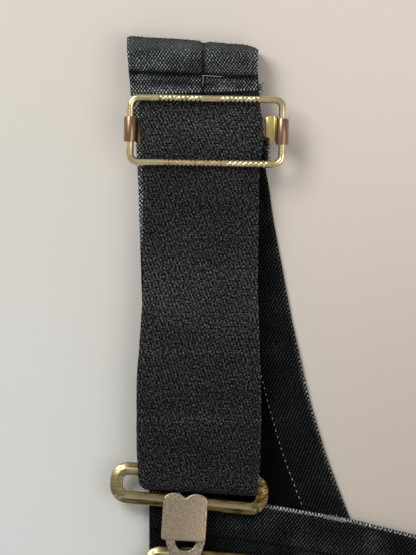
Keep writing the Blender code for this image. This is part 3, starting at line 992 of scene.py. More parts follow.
@dataclass
class Webbing:
    """Elastic webbing: down the front, round the ring's bar and up behind."""

    thickness: float = 0.0011
    left: tuple[Point, ...] = ((-0.0190, 0.0850), (-0.0190, 0.0700), (-0.0183, 0.0610),
                               (-0.0178, 0.0520), (-0.0175, 0.0450), (-0.0176, 0.0080),
                               (-0.0196, -0.0180), (-0.0196, -0.0430), (-0.0187, -0.0530))
    right: tuple[Point, ...] = ((0.0189, 0.0850), (0.0195, 0.0700), (0.0212, 0.0634),
                                (0.0209, 0.0590), (0.0199, 0.0520), (0.0194, 0.0450),
                                (0.0190, 0.0100), (0.0202, -0.0250), (0.0199, -0.0440),
                                (0.0190, -0.0530))
    loop_x: float = -0.0004
    loop_start: float = -0.0456
    loop_straight: float = 0.0059
    back_top: float = 0.0500
    back_drop: float = 0.00115
    step: float = 0.00068
    bulge: float = 0.00045
    window: Point = (0.0515, 0.0700)
    creases: tuple[float, ...] = (-0.0093, -0.0310)
    rust: tuple[Point, ...] = ((0.0222, 0.055), (0.0048, 0.047))
    split_y: float = -0.0440
    turn_blend: float = 0.0040
    stretch_y: Point = (0.0480, -0.0430)
    wide: float = 0.038
    long: tuple[float, float, float] = (0.128, 0.023, 0.094)

    def path(self) -> list[tuple[float, float, float]]:
        """The webbing's middle line: y, level, and 1 on the part behind."""
        front = mid_z("elastic_front_leaf")
        back = mid_z("elastic_back_leaf")
        half = (front - back) / 2
        turn_y = self.loop_start - self.loop_straight
        line = spaced([(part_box("elastic_front_leaf")[1].y, front), (turn_y, front)], self.step)
        path = [(y, z, 0.0) for y, z in line]
        bend = arc((turn_y, (front + back) / 2), (half, half), 90, 270, 14)
        path += [(y, z, 0.5) for y, z in bend[1:-1]]
        for y, _ in spaced([(turn_y, back), (self.back_top, back)], self.step):
            path.append((y, back - self.back_drop * ease(y, -0.046, -0.035), 1.0))
        return path

    def rows(self) -> list[list[Vector]]:
        """Points of the webbing, row by row along its path."""
        rows = []
        turn_y = self.loop_start - self.loop_straight
        for y, z, side in self.path():
            left, right = edge_x(self.left, y), edge_x(self.right, y)
            apex = ease(-y, -turn_y + 0.0002, -turn_y + 0.0024) ** 2
            left += 0.0016 * apex
            right -= 0.0007 * apex
            left += 0.00012 * ripple(left, y, 0.004, 1.0)
            right += 0.00012 * ripple(right, y, 0.004, 4.0)
            lean = tan(LOOP_TILT) * ease(-y, 0.010, 0.045)
            row = []
            for k in range(57):
                s = k / 56
                x = left + (right - left) * s
                row.append(Vector((x, y + (x - self.loop_x) * lean, z + self.relief(x, y, s, side))))
            rows.append(row)
        return rows

    def relief(self, x: float, y: float, s: float, side: float) -> float:
        """Height of the surface over the even level of its leaf."""
        crinkle = 0.00007 * ripple(x, y, 0.0011, 3.0 + side * 9)
        if side:
            return crinkle
        height = crinkle + 0.00010 * ripple(x, y, 0.014, 6.0)
        window = ease(y, self.window[0], self.window[0] + 0.005)
        window *= 1 - ease(y, self.window[1] - 0.005, self.window[1])
        height += self.bulge * window * sin(pi * min(max(s, 0.0), 1.0)) ** 0.5
        for crease in self.creases:
            height += 0.00012 * bell(y - crease, 0.0009)
        return height - 0.00016 * (bell(s, 0.02) + bell(1 - s, 0.02))

    def look(self, point: Vector, s: float, t: float) -> tuple[float, float]:
        """Wear in bands and at the selvedges, and the two faint reddish lines."""
        y = point.y
        wear_and_painted_light = 0.32 + 0.34 * bell(y - 0.0620, 0.0090) + 0.34 * bell(y - 0.0100, 0.0120)
        wear_and_painted_light += 0.10 * ripple(0.0, y, 0.012, 5.0) - 0.08 * ease(-y, 0.010, 0.030)
        for crease in self.creases:
            wear_and_painted_light += 0.30 * bell(y - crease, 0.0006)
        wear_and_painted_light += 0.35 * (bell(s - 0.012, 0.008) + bell(1 - s, 0.010))
        wear_and_painted_light += 0.30 * bell(point.z - mid_z("upper_ring"), 0.0012) * ease(-y, 0.050, 0.052)
        red = sum(0.6 * bell(y - at - point.x * lean, 0.0005) for at, lean in self.rust)
        return min(max(wear_and_painted_light, 0.0), 1.0), red

    def build(self, elastic: bpy.types.Material) -> None:
        """Makes the webbing: front leaf, turn round the ring's bar, and back leaf."""
        path = self.path()
        rows = self.rows()
        first = next(k for k, (y, _, _) in enumerate(path) if y <= self.split_y)
        last = max(k for k, (y, _, side) in enumerate(path) if side == 1.0 and y <= self.split_y)
        parts = (("webbing", rows[:first + 1], "elastic_front_leaf", "back_cloth"),
                 ("webbing_turn", rows[first:last + 1], "elastic_ring_loop", "upper_ring_bar"),
                 ("webbing_back", rows[last:], "elastic_back_leaf", "back_cloth"))
        before = 0.0
        for (name, part, node, below), long in zip(parts, self.long):
            made = weave(name, part, self.thickness, elastic, self.look, 0, before)
            before += sum((b[0] - a[0]).length for a, b in zip(part, part[1:])) * MILLIMETRES
            if name == "webbing_turn":
                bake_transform(made)
            else:
                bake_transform(made)
            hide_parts(node)
            LOG.info("%s: %d faces", made.name, len(made.data.polygons))


@dataclass
class WebbingEnd:
    """Cut end of the webbing, turned round the slide bar and sewn down below it."""

    thickness: float = 0.0010
    left: float = -0.0176
    right: float = 0.0196
    frayed_right: float = 0.0226
    frayed_y: Point = (0.0505, 0.0590)
    turn_y: float = 0.0657
    sewn_y: float = 0.0523
    flat: Point = (0.0372, 0.038)

    def rows(self) -> list[list[Vector]]:
        """Points of the end, from under the bar, round it and down to the cut."""
        box_low, box_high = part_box("elastic_end_loop")
        low = box_low.z + 0.0006
        high = box_high.z - 0.0006
        half = (high - low) / 2
        sewn = low + 0.0015
        line = [(box_low.y + 0.0042, low), (self.turn_y, low)]
        line += arc((self.turn_y, low + half), (half, half), -90, 90, 12)[1:]
        line += [(self.sewn_y + 0.0042, high), (self.sewn_y + 0.0020, (high + sewn) / 2),
                 (self.sewn_y, sewn), (box_low.y, sewn)]
        rows = []
        rng = random.Random(4)
        for y, z in spaced(line, 0.0007):
            right = self.right
            if z > low + half:
                out = ease(y, self.frayed_y[0] - 0.0015, self.frayed_y[0])
                out *= 1 - ease(y, self.frayed_y[1], self.frayed_y[1] + 0.0015)
                right += (self.frayed_right - self.right) * out * rng.uniform(0.72, 1.0)
            rows.append([Vector((self.left + (right - self.left) * k / 44, y,
                                 z + 0.00006 * ripple(k * 0.0008, y, 0.0011, 2.0)))
                         for k in range(45)])
        return rows

    def build(self, elastic: bpy.types.Material, dark: bpy.types.Material,
              pale: bpy.types.Material) -> None:
        """Makes the end, its frayed threads and its row of stitches."""
        made = weave("webbing_end", self.rows(), self.thickness, elastic,
                     lambda p, s, t: (0.15 + 0.5 * bell(1 - s, 0.02), 0.0))
        settle(made, "slide", Slot.ELASTIC, "elastic_end_loop")
        rng = random.Random(21)
        lines = []
        for k in range(60):
            y = self.frayed_y[0] + (self.frayed_y[1] - self.frayed_y[0]) * k / 59
            spot = Vector((self.frayed_right - 0.0007, y, 0.0064 + rng.uniform(-0.0004, 0.0005)))
            lines.append(frayed(rng, spot, Vector((1.0, rng.uniform(-0.9, 0.5), rng.uniform(-0.1, 0.3))),
                                rng.uniform(0.0006, 0.0016), 0.5))
        settle(threads("webbing_end_fray", lines, 0.00009, dark), "slide", Slot.ELASTIC)
        low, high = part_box("elastic_end_thread")
        row = [Vector((low.x, low.y, low.z - 0.0001)), Vector((high.x, low.y, low.z - 0.0001))]
        made = stitches("webbing_end_stitches", row, pale)
        settle(made, "slide", Slot.THREAD, "elastic_end_thread")


@dataclass
class BackPanel:
    """Back panel of the garment, seen on its inner face, with its turned hems."""

    thickness: float = 0.00068
    left: tuple[Point, ...] = ((-0.0226, 0.0864), (-0.0208, 0.0710), (-0.0192, 0.0500),
                               (-0.0176, 0.0010), (-0.0164, -0.0400), (-0.0150, -0.0600),
                               (-0.0150, -0.0980))
    right: tuple[Point, ...] = ((0.0184, 0.0864), (0.0186, 0.0700), (0.0200, 0.0580),
                                (0.0222, 0.0458),
                                (0.0243, 0.0310), (0.0299, 0.0010), (0.0353, -0.0234),
                                (0.0406, -0.0419), (0.0484, -0.0626), (0.0561, -0.0800),
                                (0.0650, -0.0980))
    hem: float = 0.0139
    left_hem: float = 0.0080
    step: float = 0.0013
    stitch_inset: float = 0.0004
    stitch_y: Point = (-0.0150, -0.0600)
    flat: Point = (0.080, 0.185)

    def row(self, y: float) -> list[Vector]:
        """Points across the panel at y, from the left hem's edge to the right hem's."""
        left, right = edge_x(self.left, y), edge_x(self.right, y)
        low, high = mid_z("back_panel"), mid_z("back_hem_right") - 0.0001
        bend = (high - low) / 2
        section = [(left + self.left_hem, high), (left + bend, high)]
        section = spaced(section, 0.0016)
        section += arc((left + bend, low + bend), (bend, bend), 90, 270, 5)[1:]
        span = [(left + bend + (right - left - 2 * bend) * k / 40, low) for k in range(1, 41)]
        section += span
        section += arc((right - bend, low + bend), (bend, bend), -90, 90, 6)[1:]
        inner = spaced([(right - bend, high), (right - self.hem, high)], 0.0009)[1:]
        section += inner
        out = []
        for x, z in section:
            lift = 0.00022 * ripple(x, y, 0.012, 9.0) * (1 if z > (low + high) / 2 else 0.3)
            out.append(Vector((x + 0.00010 * ripple(y, z, 0.005, 2.0), y, max(z + lift, self.thickness / 2))))
        return out

    def look(self, point: Vector, s: float, t: float) -> tuple[float, float]:
        """Bright dots along the right fold, plain hem, and a dark inner panel, partly its own darker face and
        partly painted shade.
        """
        right = edge_x(self.right, point.y)
        left = edge_x(self.left, point.y)
        inner = right - self.hem
        on_hem = ease(point.x, inner - 0.0006, inner)
        patchy = 0.6 + 0.4 * ripple(point.x, point.y, 0.012, 3.0)
        worn = bell(right - point.x, 0.0006) * (0.35 + 0.65 * bell(point.y + 0.028, 0.020)) * patchy
        # Off the hem the inner panel is pushed dark: partly the cloth's darker inner face, partly painted
        # shade where it lies deeper under the strap.
        wear_and_painted_light = -0.85 * (1 - on_hem) + on_hem * (-0.12 + 0.3 * patchy) + worn * 1.1
        wear_and_painted_light += 2.2 * bell(point.x - left - 0.0010, 0.0030) * ease(point.y, 0.000, 0.040)
        return min(wear_and_painted_light, 1.0), 0.0

    def build(self, canvas: bpy.types.Material, pale: bpy.types.Material) -> None:
        """Makes the panel and the row of stitches of its right hem."""
        top, bottom = self.left[0][1], self.left[-1][1]
        count = int((top - bottom) / self.step)
        rows = [self.row(top + (bottom - top) * k / count) for k in range(count + 1)]
        wide = len(rows[0])
        anchor = wide - 18
        made = weave("back_cloth", rows, self.thickness, canvas, self.look, anchor)
        settle(made, "back", Slot.CANVAS, "back_panel", "back_hem_right", "back_hem_left")
        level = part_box("back_hem_right")[1].z + 0.0001
        row = []
        for k in range(24):
            y = self.stitch_y[0] + (self.stitch_y[1] - self.stitch_y[0]) * k / 23
            row.append(Vector((edge_x(self.right, y) - self.hem + self.stitch_inset, y, level)))
        made = stitches("back_hem_stitches", row, pale, 0.00050, 0.00055, 0.00012)
        settle(made, "back", Slot.THREAD, "back_hem_thread")


@dataclass
class BibCorner:
    """Corner of the bib with its turned hems, and the chape of the lower ring."""

    thickness: float = 0.00060
    top: tuple[Point, ...] = ((-0.0157, -0.0540), (-0.0040, -0.0556), (0.0216, -0.0586),
                              (0.0474, -0.0630), (0.0806, -0.0712))
    hem: float = 0.0118
    bottom: float = -0.0980
    flat: Point = (0.0963, 0.0485)
    bartack: Point = (0.0440, -0.0618)

    def top_y(self, x: float) -> float:
        """Top edge of the bib at x."""
        edge = [(y, -x0) for x0, y in self.top]
        return edge_x(edge, -x, 0.003)

    def rows(self) -> list[list[Vector]]:
        """Points of the bib, from its bottom, over the top edge and down the hem."""
        low, high = mid_z("bib_panel"), mid_z("bib_hem_top")
        bend = (high - low) / 2
        left, right = self.top[0][0], self.top[-1][0]
        columns = [left + (right - left) * k / 130 for k in range(131)]
        rows = []
        for k in range(36):
            t = k / 35
            rows.append([Vector((x, self.bottom + (self.top_y(x) - bend - self.bottom) * t, low))
                         for x in columns])
        for k in range(1, 7):
            a = radians(-90 + 180 * k / 6)
            rows.append([Vector((x, self.top_y(x) - bend + bend * cos(a), low + bend + bend * sin(a)))
                         for x in columns])
        for k in range(1, 19):
            drop = (self.hem - bend) * k / 18
            row = []
            for x in columns:
                y = self.top_y(x) - bend - drop
                lift = 0.00016 * ripple(x, y, 0.009, 4.0) + 0.00010
                row.append(Vector((x, y, high + lift * ease(k, 0, 4))))
            rows.append(row)
        return rows

    def look(self, point: Vector, s: float, t: float) -> tuple[float, float]:
        """Cream dots along the top edge, brightest to the right, and paler grey at the right."""
        depth = self.top_y(point.x) - point.y
        run = ease(point.x, 0.012, 0.024) * (1 - ease(point.x, 0.0475, 0.060))
        worn = bell(depth, 0.00062) * (0.45 + 0.9 * run)
        wear_and_painted_light = -0.08 + 0.24 * ripple(point.x, point.y, 0.010, 6.0) + worn * 1.4
        wear_and_painted_light += 0.22 * ease(point.x, 0.004, 0.020)
        fuzz = 0.9 * bell(point.x - self.bartack[0], 0.0028) * bell(point.y - self.bartack[1], 0.0008)
        return min(wear_and_painted_light, 1.0), min(fuzz, 0.9)

    def build(self, canvas: bpy.types.Material, pale: bpy.types.Material,
              dark: bpy.types.Material) -> None:
        """Makes the bib, its side hem, its chape, its stitches and its bartack."""
        bib = weave("bib_cloth", self.rows(), self.thickness, canvas, self.look)
        settle(bib, "bib", Slot.CANVAS, "bib_panel", "bib_hem_top")
        low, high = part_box("bib_hem_side")
        level = (low.z + high.z) / 2
        rows = [[Vector((low.x + (high.x - low.x) * j / 8, high.y + (low.y - high.y) * k / 30,
                         level + 0.00008 * ripple(j * 0.001, k * 0.001, 0.006, 3.0)))
                 for j in range(9)] for k in range(31)]
        made = weave("bib_side_hem", rows, self.thickness, canvas,
                     lambda p, s, t: (0.5 * bell(s, 0.1) - 0.2, 0.0))
        settle(made, "bib", Slot.CANVAS, "bib_hem_side")
        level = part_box("bib_hem_thread")[0].z
        row = [Vector((x, self.top_y(x) - self.hem + 0.0010, level)) for x in
               [self.top[0][0] + 0.0006 + (0.0950 * k / 20) for k in range(21)]]
        made = stitches("bib_hem_stitches", row, dark, 0.0016, 0.0014, 0.00008)
        settle(made, "bib", Slot.THREAD, "bib_hem_thread")
        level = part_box("bib_hem_top")[1].z + 0.0001
        edge = [Vector((x, self.top_y(x) - 0.00055, level))
                for x in [0.0120 + 0.0640 * k / 40 for k in range(41)]]
        made = stitches("bib_edge_yarn", edge, pale, 0.00045, 0.00055, 0.00019)
        settle(made, "bib", Slot.CANVAS)
        self.add_bartack(pale)
        self.add_chape(canvas, pale)

    def add_bartack(self, pale: bpy.types.Material) -> None:
        """Makes the tuft of threads where the bib's edge is tacked."""
        rng = random.Random(31)
        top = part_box("bib_hem_top")[1].z
        lines = []
        for _ in range(46):
            spot = Vector((self.bartack[0] + rng.uniform(-0.0032, 0.0032), 0.0, top))
            spot.y = self.top_y(spot.x) - rng.uniform(0.0002, 0.0012)
            lines.append(frayed(rng, spot, Vector((rng.uniform(-1, 1), rng.uniform(-0.2, 1.0), 0.3)),
                                rng.uniform(0.0005, 0.0013), 0.7))
        settle(threads("bib_bartack", lines, 0.00007, pale), "bib", Slot.THREAD)

    def add_chape(self, canvas: bpy.types.Material, pale: bpy.types.Material) -> None:
        """Makes the loop of canvas that holds the lower ring."""
        joint = next(j for j in frame["joints"] if j["name"] == "lower_ring_tilt")
        place = Vector(joint["pos_m"])
        low = mid_z("bib_hem_side")
        high = 2 * place.z - low
        sewn = low + 0.0010
        line = [(-0.0112, low), (0.0012, low)]
        line += arc((0.0012, place.z), ((high - low) / 2, (high - low) / 2), -90, 90, 12)[1:]
        line += [(-0.0026, high), (-0.0042, (high + sewn) / 2), (-0.0058, sewn), (-0.0112, sewn)]
        rows = [[Vector(((k / 24 - 0.5) * 0.0200, y, z + 0.00004 * ripple(k * 0.0008, y, 0.003, 1.0)))
                 for k in range(25)] for y, z in spaced(line, 0.0008)]
        made = weave("ring_chape_loop", rows, self.thickness, canvas,
                     lambda p, s, t: (0.2 + 0.5 * bell(s, 0.03) + 0.5 * bell(1 - s, 0.03), 0.0))
        put(made, Vector((place.x, place.y, 0.0)), RING_TILT)
        settle(made, "bib", Slot.CANVAS, "ring_chape")
        level = sewn + self.thickness / 2 + 0.0002
        row = [Vector((x, -0.0082, level)) for x in (-0.0085, 0.0085)]
        made = stitches("chape_stitches", row, pale)
        put(made, Vector((place.x, place.y, 0.0)), RING_TILT)
        settle(made, "bib", Slot.THREAD, "chape_thread")


# ---------------------------------------------------------------- hardware


@dataclass
class Adjuster:
    """Wire frame with pressed grooves on its bars, and the slide bar between its sides."""

    wire: float = 0.0024
    width: float = 0.0510
    height: float = 0.0230
    corner: float = 0.0026
    centre: Point = (0.00265, 0.0614)
    groove: float = 0.84
    bar_y: float = 0.0001
    strip: float = 0.0006
    sleeve: float = 0.0079
    roll: float = 0.0017
    bend: float = 0.0008

    def add_frame(self, metal: bpy.types.Material) -> None:
        """Bends the wire frame, with its grooves, and closes it."""
        half_x = (self.width - self.wire) / 2
        half_y = (self.height - self.wire) / 2
        reach = half_x - self.corner
        run = BarRun("adjuster_wire", Vector((-reach, -half_y, 0.0)), Vector((1.0, 0.0, 0.0)),
                     (self.wire, self.wire), 16)
        middle = Vector((0.0, -half_y, 0.0))
        self.grooves(run, -0.0138 + reach, middle, 14, 0.00138, 0.80)
        self.grooves(run, 0.0010, middle, 8, 0.00165, 0.88)
        run.run(reach - run.place.x)
        run.turn(pi / 2, self.corner, UP, 7)
        run.run(2 * (half_y - self.corner), 3)
        run.turn(pi / 2, self.corner, UP, 7)
        outer = Vector((0.0, half_y + self.wire / 2, 0.0))
        self.grooves(run, reach - 0.0168, outer, 9, 0.00140, self.groove)
        self.grooves(run, 0.0056, outer, 10, 0.00142, self.groove)
        run.run(run.place.x + reach)
        run.turn(pi / 2, self.corner, UP, 7)
        run.run(2 * (half_y - self.corner), 3)
        run.turn(pi / 2, self.corner, UP, 7)
        piece = run.done()
        put(piece, Vector((*self.centre, mid_z("adjuster_frame"))), FRAME_TILT)
        finish_metal(piece, metal, 0.0)
        rub_edges(piece, 0.35, 0.35)
        settle(piece, "adjuster", Slot.BRIGHT_BRASS, "adjuster_frame")

    @staticmethod
    def grooves(run: BarRun, before: float, about: Vector, count: int, pitch: float,
                share: float) -> None:
        """Draws a plain stretch, and then a row of grooves."""
        run.run(before, 2)
        for k in range(count):
            run.notch(pitch, share * (1.0 + 0.04 * (k % 3 - 1)), about)

    def add_slide(self, metal: bpy.types.Material) -> None:
        """Bends the slide bar from one strip, rolled round both side wires."""
        wire_x = (self.width - self.wire) / 2
        level = mid_z("adjuster_frame")
        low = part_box("slide_bar")[0].z + 0.0005
        open_angle = radians(30)
        heading = Vector((-sin(open_angle), 0.0, -cos(open_angle)))
        start = Vector((-wire_x, self.bar_y, level)) - ALONG.cross(heading) * self.roll
        run = BarRun("slide_bar_strip", start, heading, (self.sleeve, self.strip), 4)
        climb = level - low - self.bend
        run.turn(2 * pi - open_angle, self.roll, ALONG, 22)
        run.run(climb, 2)
        run.turn(pi / 2, self.bend, -ALONG, 5)
        shares = ((0.0012, 0.88, 0.0), (0.0010, 0.84, 0.0), (0.0008, 0.80, 0.0),
                  (0.0371, 1.0, 0.0), (0.0002, 1.30, 0.0006), (0.0003, 1.15, 0.0003),
                  (0.0004, 1.09, 0.0002), (0.0006, 1.05, 0.0001), (0.0008, 1.03, 0.0))
        for length, share, lift in shares:
            run.run(length)
            run.resize(Vector((1.0, share, 1.0)))
            run.shift(ALONG * lift)
        end = wire_x - self.roll - self.bend
        run.run(end - run.place.x, 2)
        run.turn(pi / 2, self.bend, -ALONG, 5)
        run.shift(Vector((0.0, self.bar_y - run.place.y, 0.0)))
        run.run(climb, 2)
        run.turn(2 * pi - open_angle, self.roll, ALONG, 22)
        piece = run.done()
        put(piece, Vector((*self.centre, 0.0)), FRAME_TILT)
        finish_metal(piece, metal, 0.00012)
        middle = self.centre[0]
        values = [ease(abs(v.co.x - middle), wire_x - 0.0019, wire_x - 0.0014)
                  for v in piece.data.vertices]
        paint(piece, "wear_and_painted_light", values)
        settle(piece, "slide", Slot.COPPER_BRASS, "slide_bar")

    def build(self, brass: bpy.types.Material, copper: bpy.types.Material) -> None:
        """Makes the frame and the slide bar."""
        self.add_frame(brass)
        self.add_slide(copper)


@dataclass
class OvalRing:
    """Oval ring with a ridge along the middle of its two bars."""

    name: str
    node: str
    body: str
    length: float = 0.0510
    depth: float = 0.0133
    bar: float = 0.00415
    thick: float = 0.0019
    corner: float = 0.0037
    section: tuple[Point, ...] = ((-0.50, -0.42), (-0.50, 0.30), (-0.44, 0.50), (0.02, 0.50),
                                  (0.12, 0.40), (0.45, 0.10), (0.50, -0.05), (0.50, -0.42))

    def build(self, metal: bpy.types.Material) -> None:
        """Bends the ring from an eight-sided bar and closes it."""
        reach_x = (self.length - self.bar) / 2
        reach_y = (self.depth - self.bar) / 2
        straight = reach_x - self.corner
        run = BarRun(self.name, Vector((0.0, -reach_y, 0.0)), Vector((1.0, 0.0, 0.0)),
                     (self.bar, self.thick), 8, self.section)
        end = 2 * (reach_y - self.corner)
        for length, steps in ((straight, 4), (end, 1), (2 * straight, 8), (end, 1)):
            run.run(length, steps)
            run.turn(pi / 2, self.corner, UP, 10)
        run.run(straight, 4)
        piece = run.done()
        put(piece, centre(self.node), RING_TILT)
        add_modifier(piece, "BEVEL", width=0.00013, segments=2, limit_method="ANGLE",
                     angle_limit=radians(12))
        finish_metal(piece, metal, 0.0)
        middle = centre(self.node)
        values = []
        for v in piece.data.vertices:
            off = v.co - middle
            across = abs(-off.x * sin(RING_TILT) + off.y * cos(RING_TILT))
            # Painted highlight: a thin pale line along the ridge of each bar.
            ridge_highlight = 0.7 * bell(across - (self.depth - self.bar) / 2 - 0.02 * self.bar, 0.00016)
            # Painted reflection: the left end is paled towards the window light.
            left = 0.25 * ease(-off.x, 0.0150, 0.0240)
            # Painted highlight: side faces towards the lower left are paled, the left end's rim most of all.
            rim = 0.6 * (1 - ease(v.normal.z, 0.2, 0.8)) * ease(-off.x - off.y, 0.0, 0.010)
            values.append(min(ridge_highlight + left + rim, 1.0))
        paint(piece, "wear_and_painted_light", values)
        settle(piece, self.body, Slot.ANTIQUE_BRASS, self.node)


@dataclass
class Clasp:
    """Clasp plate with its strip round the ring's bar, and the hook below it."""

    x: float = -0.0040
    width: float = 0.0143
    top: float = 0.0032
    bottom: float = -0.0121
    lobe: float = 0.0025
    notch: float = 0.0013
    thickness: float = 0.0012
    rim: float = 0.00045
    curl_width: float = 0.0022
    curl_x: float = 0.0030
    curl: float = 0.0007
    hook_top: float = 0.0100
    hook_low: float = -0.0034
    hook_window: float = 0.0066

    def bar_y(self, ring: str, side: float) -> float:
        """Middle of a ring's upper or lower bar, under the clasp's middle."""
        middle = centre(ring)
        reach = (OvalRing.depth - OvalRing.bar) / 2 * side
        bar = Vector((middle.x - reach * sin(RING_TILT), middle.y + reach * cos(RING_TILT)))
        return bar.y + (self.x - bar.x) * tan(RING_TILT)

    def outline(self) -> list[Point]:
        """Plate outline with two lobes at the top and a rounded foot."""
        half = self.width / 2
        base = self.top - self.lobe
        right = arc((half / 2, base), (half / 2, self.lobe), 0, 156, 16)
        left = arc((-half / 2, base), (half / 2, self.lobe), 24, 180, 16)
        corner = 0.0012
        foot = arc((-half + corner, self.bottom + corner), (corner, corner), 180, 270, 6)
        foot += arc((half - corner, self.bottom + corner), (corner, corner), 270, 360, 6)
        return right + left + foot

    def add_plate(self, metal: bpy.types.Material) -> None:
        """Makes the heart-topped plate with a strip behind each lobe."""
        level = mid_z_top("clasp_plate", self.thickness)
        bar = self.bar_y("upper_ring", -1.0)
        plate = cut_plate("clasp_front", [self.outline()], self.thickness, self.rim)
        put(plate, Vector((self.x, bar, level)), CLASP_TILT)
        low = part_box("clasp_plate")[0].z + self.curl / 2
        ahead, bend = 0.0027, 0.0009
        strips = []
        for side in (-1, 1):
            run = BarRun(f"clasp_strip_{side}", Vector((ahead, 0.0, level - 0.0002)), -UP, (1.0, 1.0), 4)
            run.resize(Vector((self.curl, self.curl_width, 1.0)))
            run.run(level - 0.0002 - low - bend, 2)
            run.turn(pi / 2, bend, ALONG, 5)
            run.run(2 * ahead + 0.0006 - 2 * bend, 4)
            run.turn(pi / 2, bend, ALONG, 5)
            run.run(level - 0.0002 - low - bend, 2)
            strip = run.done()
            along = Vector((cos(RING_TILT), sin(RING_TILT), 0.0)) * self.curl_x * side
            put(strip, Vector((self.x, bar, 0.0)) + along, RING_TILT + pi / 2)
            finish_metal(strip, metal, 0.00012)
            strips.append(strip)
        piece = join("clasp_front", [plate, *strips])
        finish_metal(piece, metal, 0.0)
        edges = []
        for v in piece.data.vertices:
            off = Vector((v.co.x - self.x, v.co.y - bar))
            foot = ease(-off.y, 0.0060, 0.0120) + ease(off.x, 0.0040, 0.0068)
            edges.append(min(0.8 * (1 - ease(v.normal.z, 0.75, 0.97)) + 0.3 * foot, 1.0))
        paint(piece, "wear_and_painted_light", edges)
        settle(piece, "clasp", Slot.WORN_NICKEL, "clasp_plate")

    def add_hook(self, metal: bpy.types.Material) -> None:
        """Makes the tapered loop and its return behind the lower ring's bar."""
        bar = self.bar_y("lower_ring", 1.0)
        thickness = 0.0009
        level = mid_z_top("clasp_hook", thickness)
        window = self.hook_window / 2
        middle = (0.0, 0.0048)
        outline = [(-0.0065, self.hook_top), (-0.0065, 0.0056), (-0.0061, 0.0036), (-0.0052, 0.0010),
                   (-0.0046, -0.0006), (-0.0046, self.hook_low), (0.0046, self.hook_low),
                   (0.0046, -0.0006), (0.0052, 0.0010), (0.0061, 0.0036), (0.0065, 0.0056),
                   (0.0065, self.hook_top)]
        hole = arc(middle, (window, window), 180, 360, 16)
        hole += arc((0.0, middle[1] + 0.0016), (window, window), 0, 180, 12)
        plate = cut_plate("clasp_loop", [outline, hole], thickness, 0.00032)
        put(plate, Vector((self.x, bar, level)))
        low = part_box("clasp_hook")[0].z + 0.00035
        radius = (level - low) / 2
        run = BarRun("hook_return", Vector((-self.hook_low - 0.0008, 0.0, level)),
                     Vector((1.0, 0.0, 0.0)), (0.0086, 0.0007), 4)
        run.run(0.0008)
        run.turn(pi, radius, ALONG, 16)
        run.run(0.0056, 3)
        strip = run.done()
        put(strip, Vector((self.x, bar, 0.0)), -pi / 2)
        finish_metal(strip, metal, 0.00012)
        piece = join("clasp_loop", [plate, strip])
        finish_metal(piece, metal, 0.0)
        rub_edges(piece, 0.97, 0.7)
        settle(piece, "clasp", Slot.WORN_NICKEL, "clasp_hook")

    def build(self, metal: bpy.types.Material) -> None:
        """Makes the plate and the hook."""
        self.add_plate(metal)
        self.add_hook(metal)


# ---------------------------------------------------------------- studio


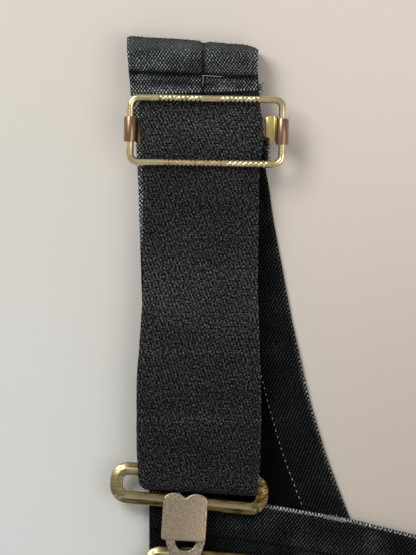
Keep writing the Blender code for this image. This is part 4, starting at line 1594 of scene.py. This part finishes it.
@dataclass
class Studio:
    """Pale table, soft lights and a camera straight above."""

    look_at: Point = (0.0032, 0.01456)
    view_height: float = 0.1776
    subject_z: float = 0.0080
    distance: float = 0.90
    sensor: float = 24.0
    floor: float = 3.0

    def add_camera(self) -> None:
        """Hangs the camera over the strap, its top towards the shoulder fold."""
        data = bpy.data.cameras.new("camera")
        data.sensor_fit = "VERTICAL"
        data.sensor_height = self.sensor
        data.lens = self.sensor * self.distance / self.view_height
        data.clip_start = 0.01
        camera = bpy.data.objects.new("camera", data)
        camera.location = (*self.look_at, self.subject_z + self.distance)
        bpy.context.collection.objects.link(camera)
        bpy.context.scene.camera = camera

    def add_floor(self, finish: bpy.types.Material) -> None:
        """Lays the table top under the strap."""
        deselect()
        bpy.ops.mesh.primitive_plane_add(size=self.floor)
        table = bpy.context.object
        table.name = "table_top"
        bpy.ops.object.mode_set(mode="EDIT")
        bpy.ops.mesh.subdivide(number_cuts=3)
        bpy.ops.object.mode_set(mode="OBJECT")
        table.data.materials.append(finish)

    def add_light(self, name: str, place: Point, height: float, size: float, power: float,
                  colour: Colour) -> None:
        """Hangs a soft square light that faces the strap."""
        data = bpy.data.lights.new(name, "AREA")
        data.size = size
        data.energy = power
        data.color = colour
        light = bpy.data.objects.new(name, data)
        light.location = (*place, height)
        aim = Vector((0.0, 0.0, 0.0)) - light.location
        light.rotation_euler = aim.to_track_quat("-Z", "Y").to_euler()
        bpy.context.collection.objects.link(light)

    def build(self) -> None:
        """Sets up the camera, the table and the lights."""
        self.add_camera()
        self.add_floor(FloorFinish().material())
        world = bpy.data.worlds.new("studio")
        world.use_nodes = True
        back = world.node_tree.nodes["Background"]
        back.inputs["Color"].default_value = (0.37, 0.37, 0.38, 1.0)
        back.inputs["Strength"].default_value = 1.0
        bpy.context.scene.world = world
        self.add_light("window_light", (-0.50, 0.55), 0.80, 0.50, 6.6, (1.0, 0.99, 0.97))
        self.add_light("room_light", (0.60, -0.20), 0.90, 0.70, 2.3, (1.0, 0.95, 0.88))
        bpy.context.scene.view_settings.view_transform = "Standard"


def main() -> None:
    """Builds every piece in order."""
    logging.basicConfig(level=logging.INFO, format="%(name)s: %(message)s")
    Studio().build()
    canvas = CanvasFinish().material()
    elastic = ElasticFinish().material()
    pale = ThreadFinish("pale_thread_finish", (0.62, 0.60, 0.54)).material()
    dark = ThreadFinish("dark_thread_finish", (0.020, 0.021, 0.024)).material()
    brass = PlatedMetal("bright_brass_wire", (0.95, 0.81, 0.48), (0.34, 0.24, 0.09),
                        (1.0, 0.93, 0.72), 0.12, 0.45).material()
    copper = PlatedMetal("copper_brass_strip", (0.84, 0.66, 0.27), (0.34, 0.24, 0.08),
                         (0.36, 0.215, 0.135), 0.22, 0.6, (1.0, 0.25, 1.0)).material()
    # The antique ring's edge colour is also its painted highlight and painted reflection colour.
    antique = PlatedMetal("antique_brass_ring", (0.29, 0.205, 0.070), (0.050, 0.032, 0.013),
                          (0.90, 0.78, 0.50), 0.26, 0.95, (0.12, 1.0, 1.0), 1500.0).material()
    nickel = PlatedMetal("worn_nickel_plate", (0.50, 0.44, 0.33), (0.20, 0.165, 0.105),
                         (0.56, 0.38, 0.28), 0.30, 0.85, (1.0, 0.8, 1.0), 1700.0,
                         0.00005).material()
    BackPanel().build(canvas, pale)
    BibCorner().build(canvas, pale, dark)
    ShoulderCanvas().build(canvas, pale, dark)
    Webbing().build(elastic)
    WebbingEnd().build(elastic, dark, pale)
    Adjuster().build(brass, copper)
    OvalRing("upper_ring_bar", "upper_ring", "ring_upper").build(antique)
    OvalRing("lower_ring_bar", "lower_ring", "ring_lower").build(antique)
    Clasp().build(nickel)
    deselect()


if __name__ == "__main__":
    main()
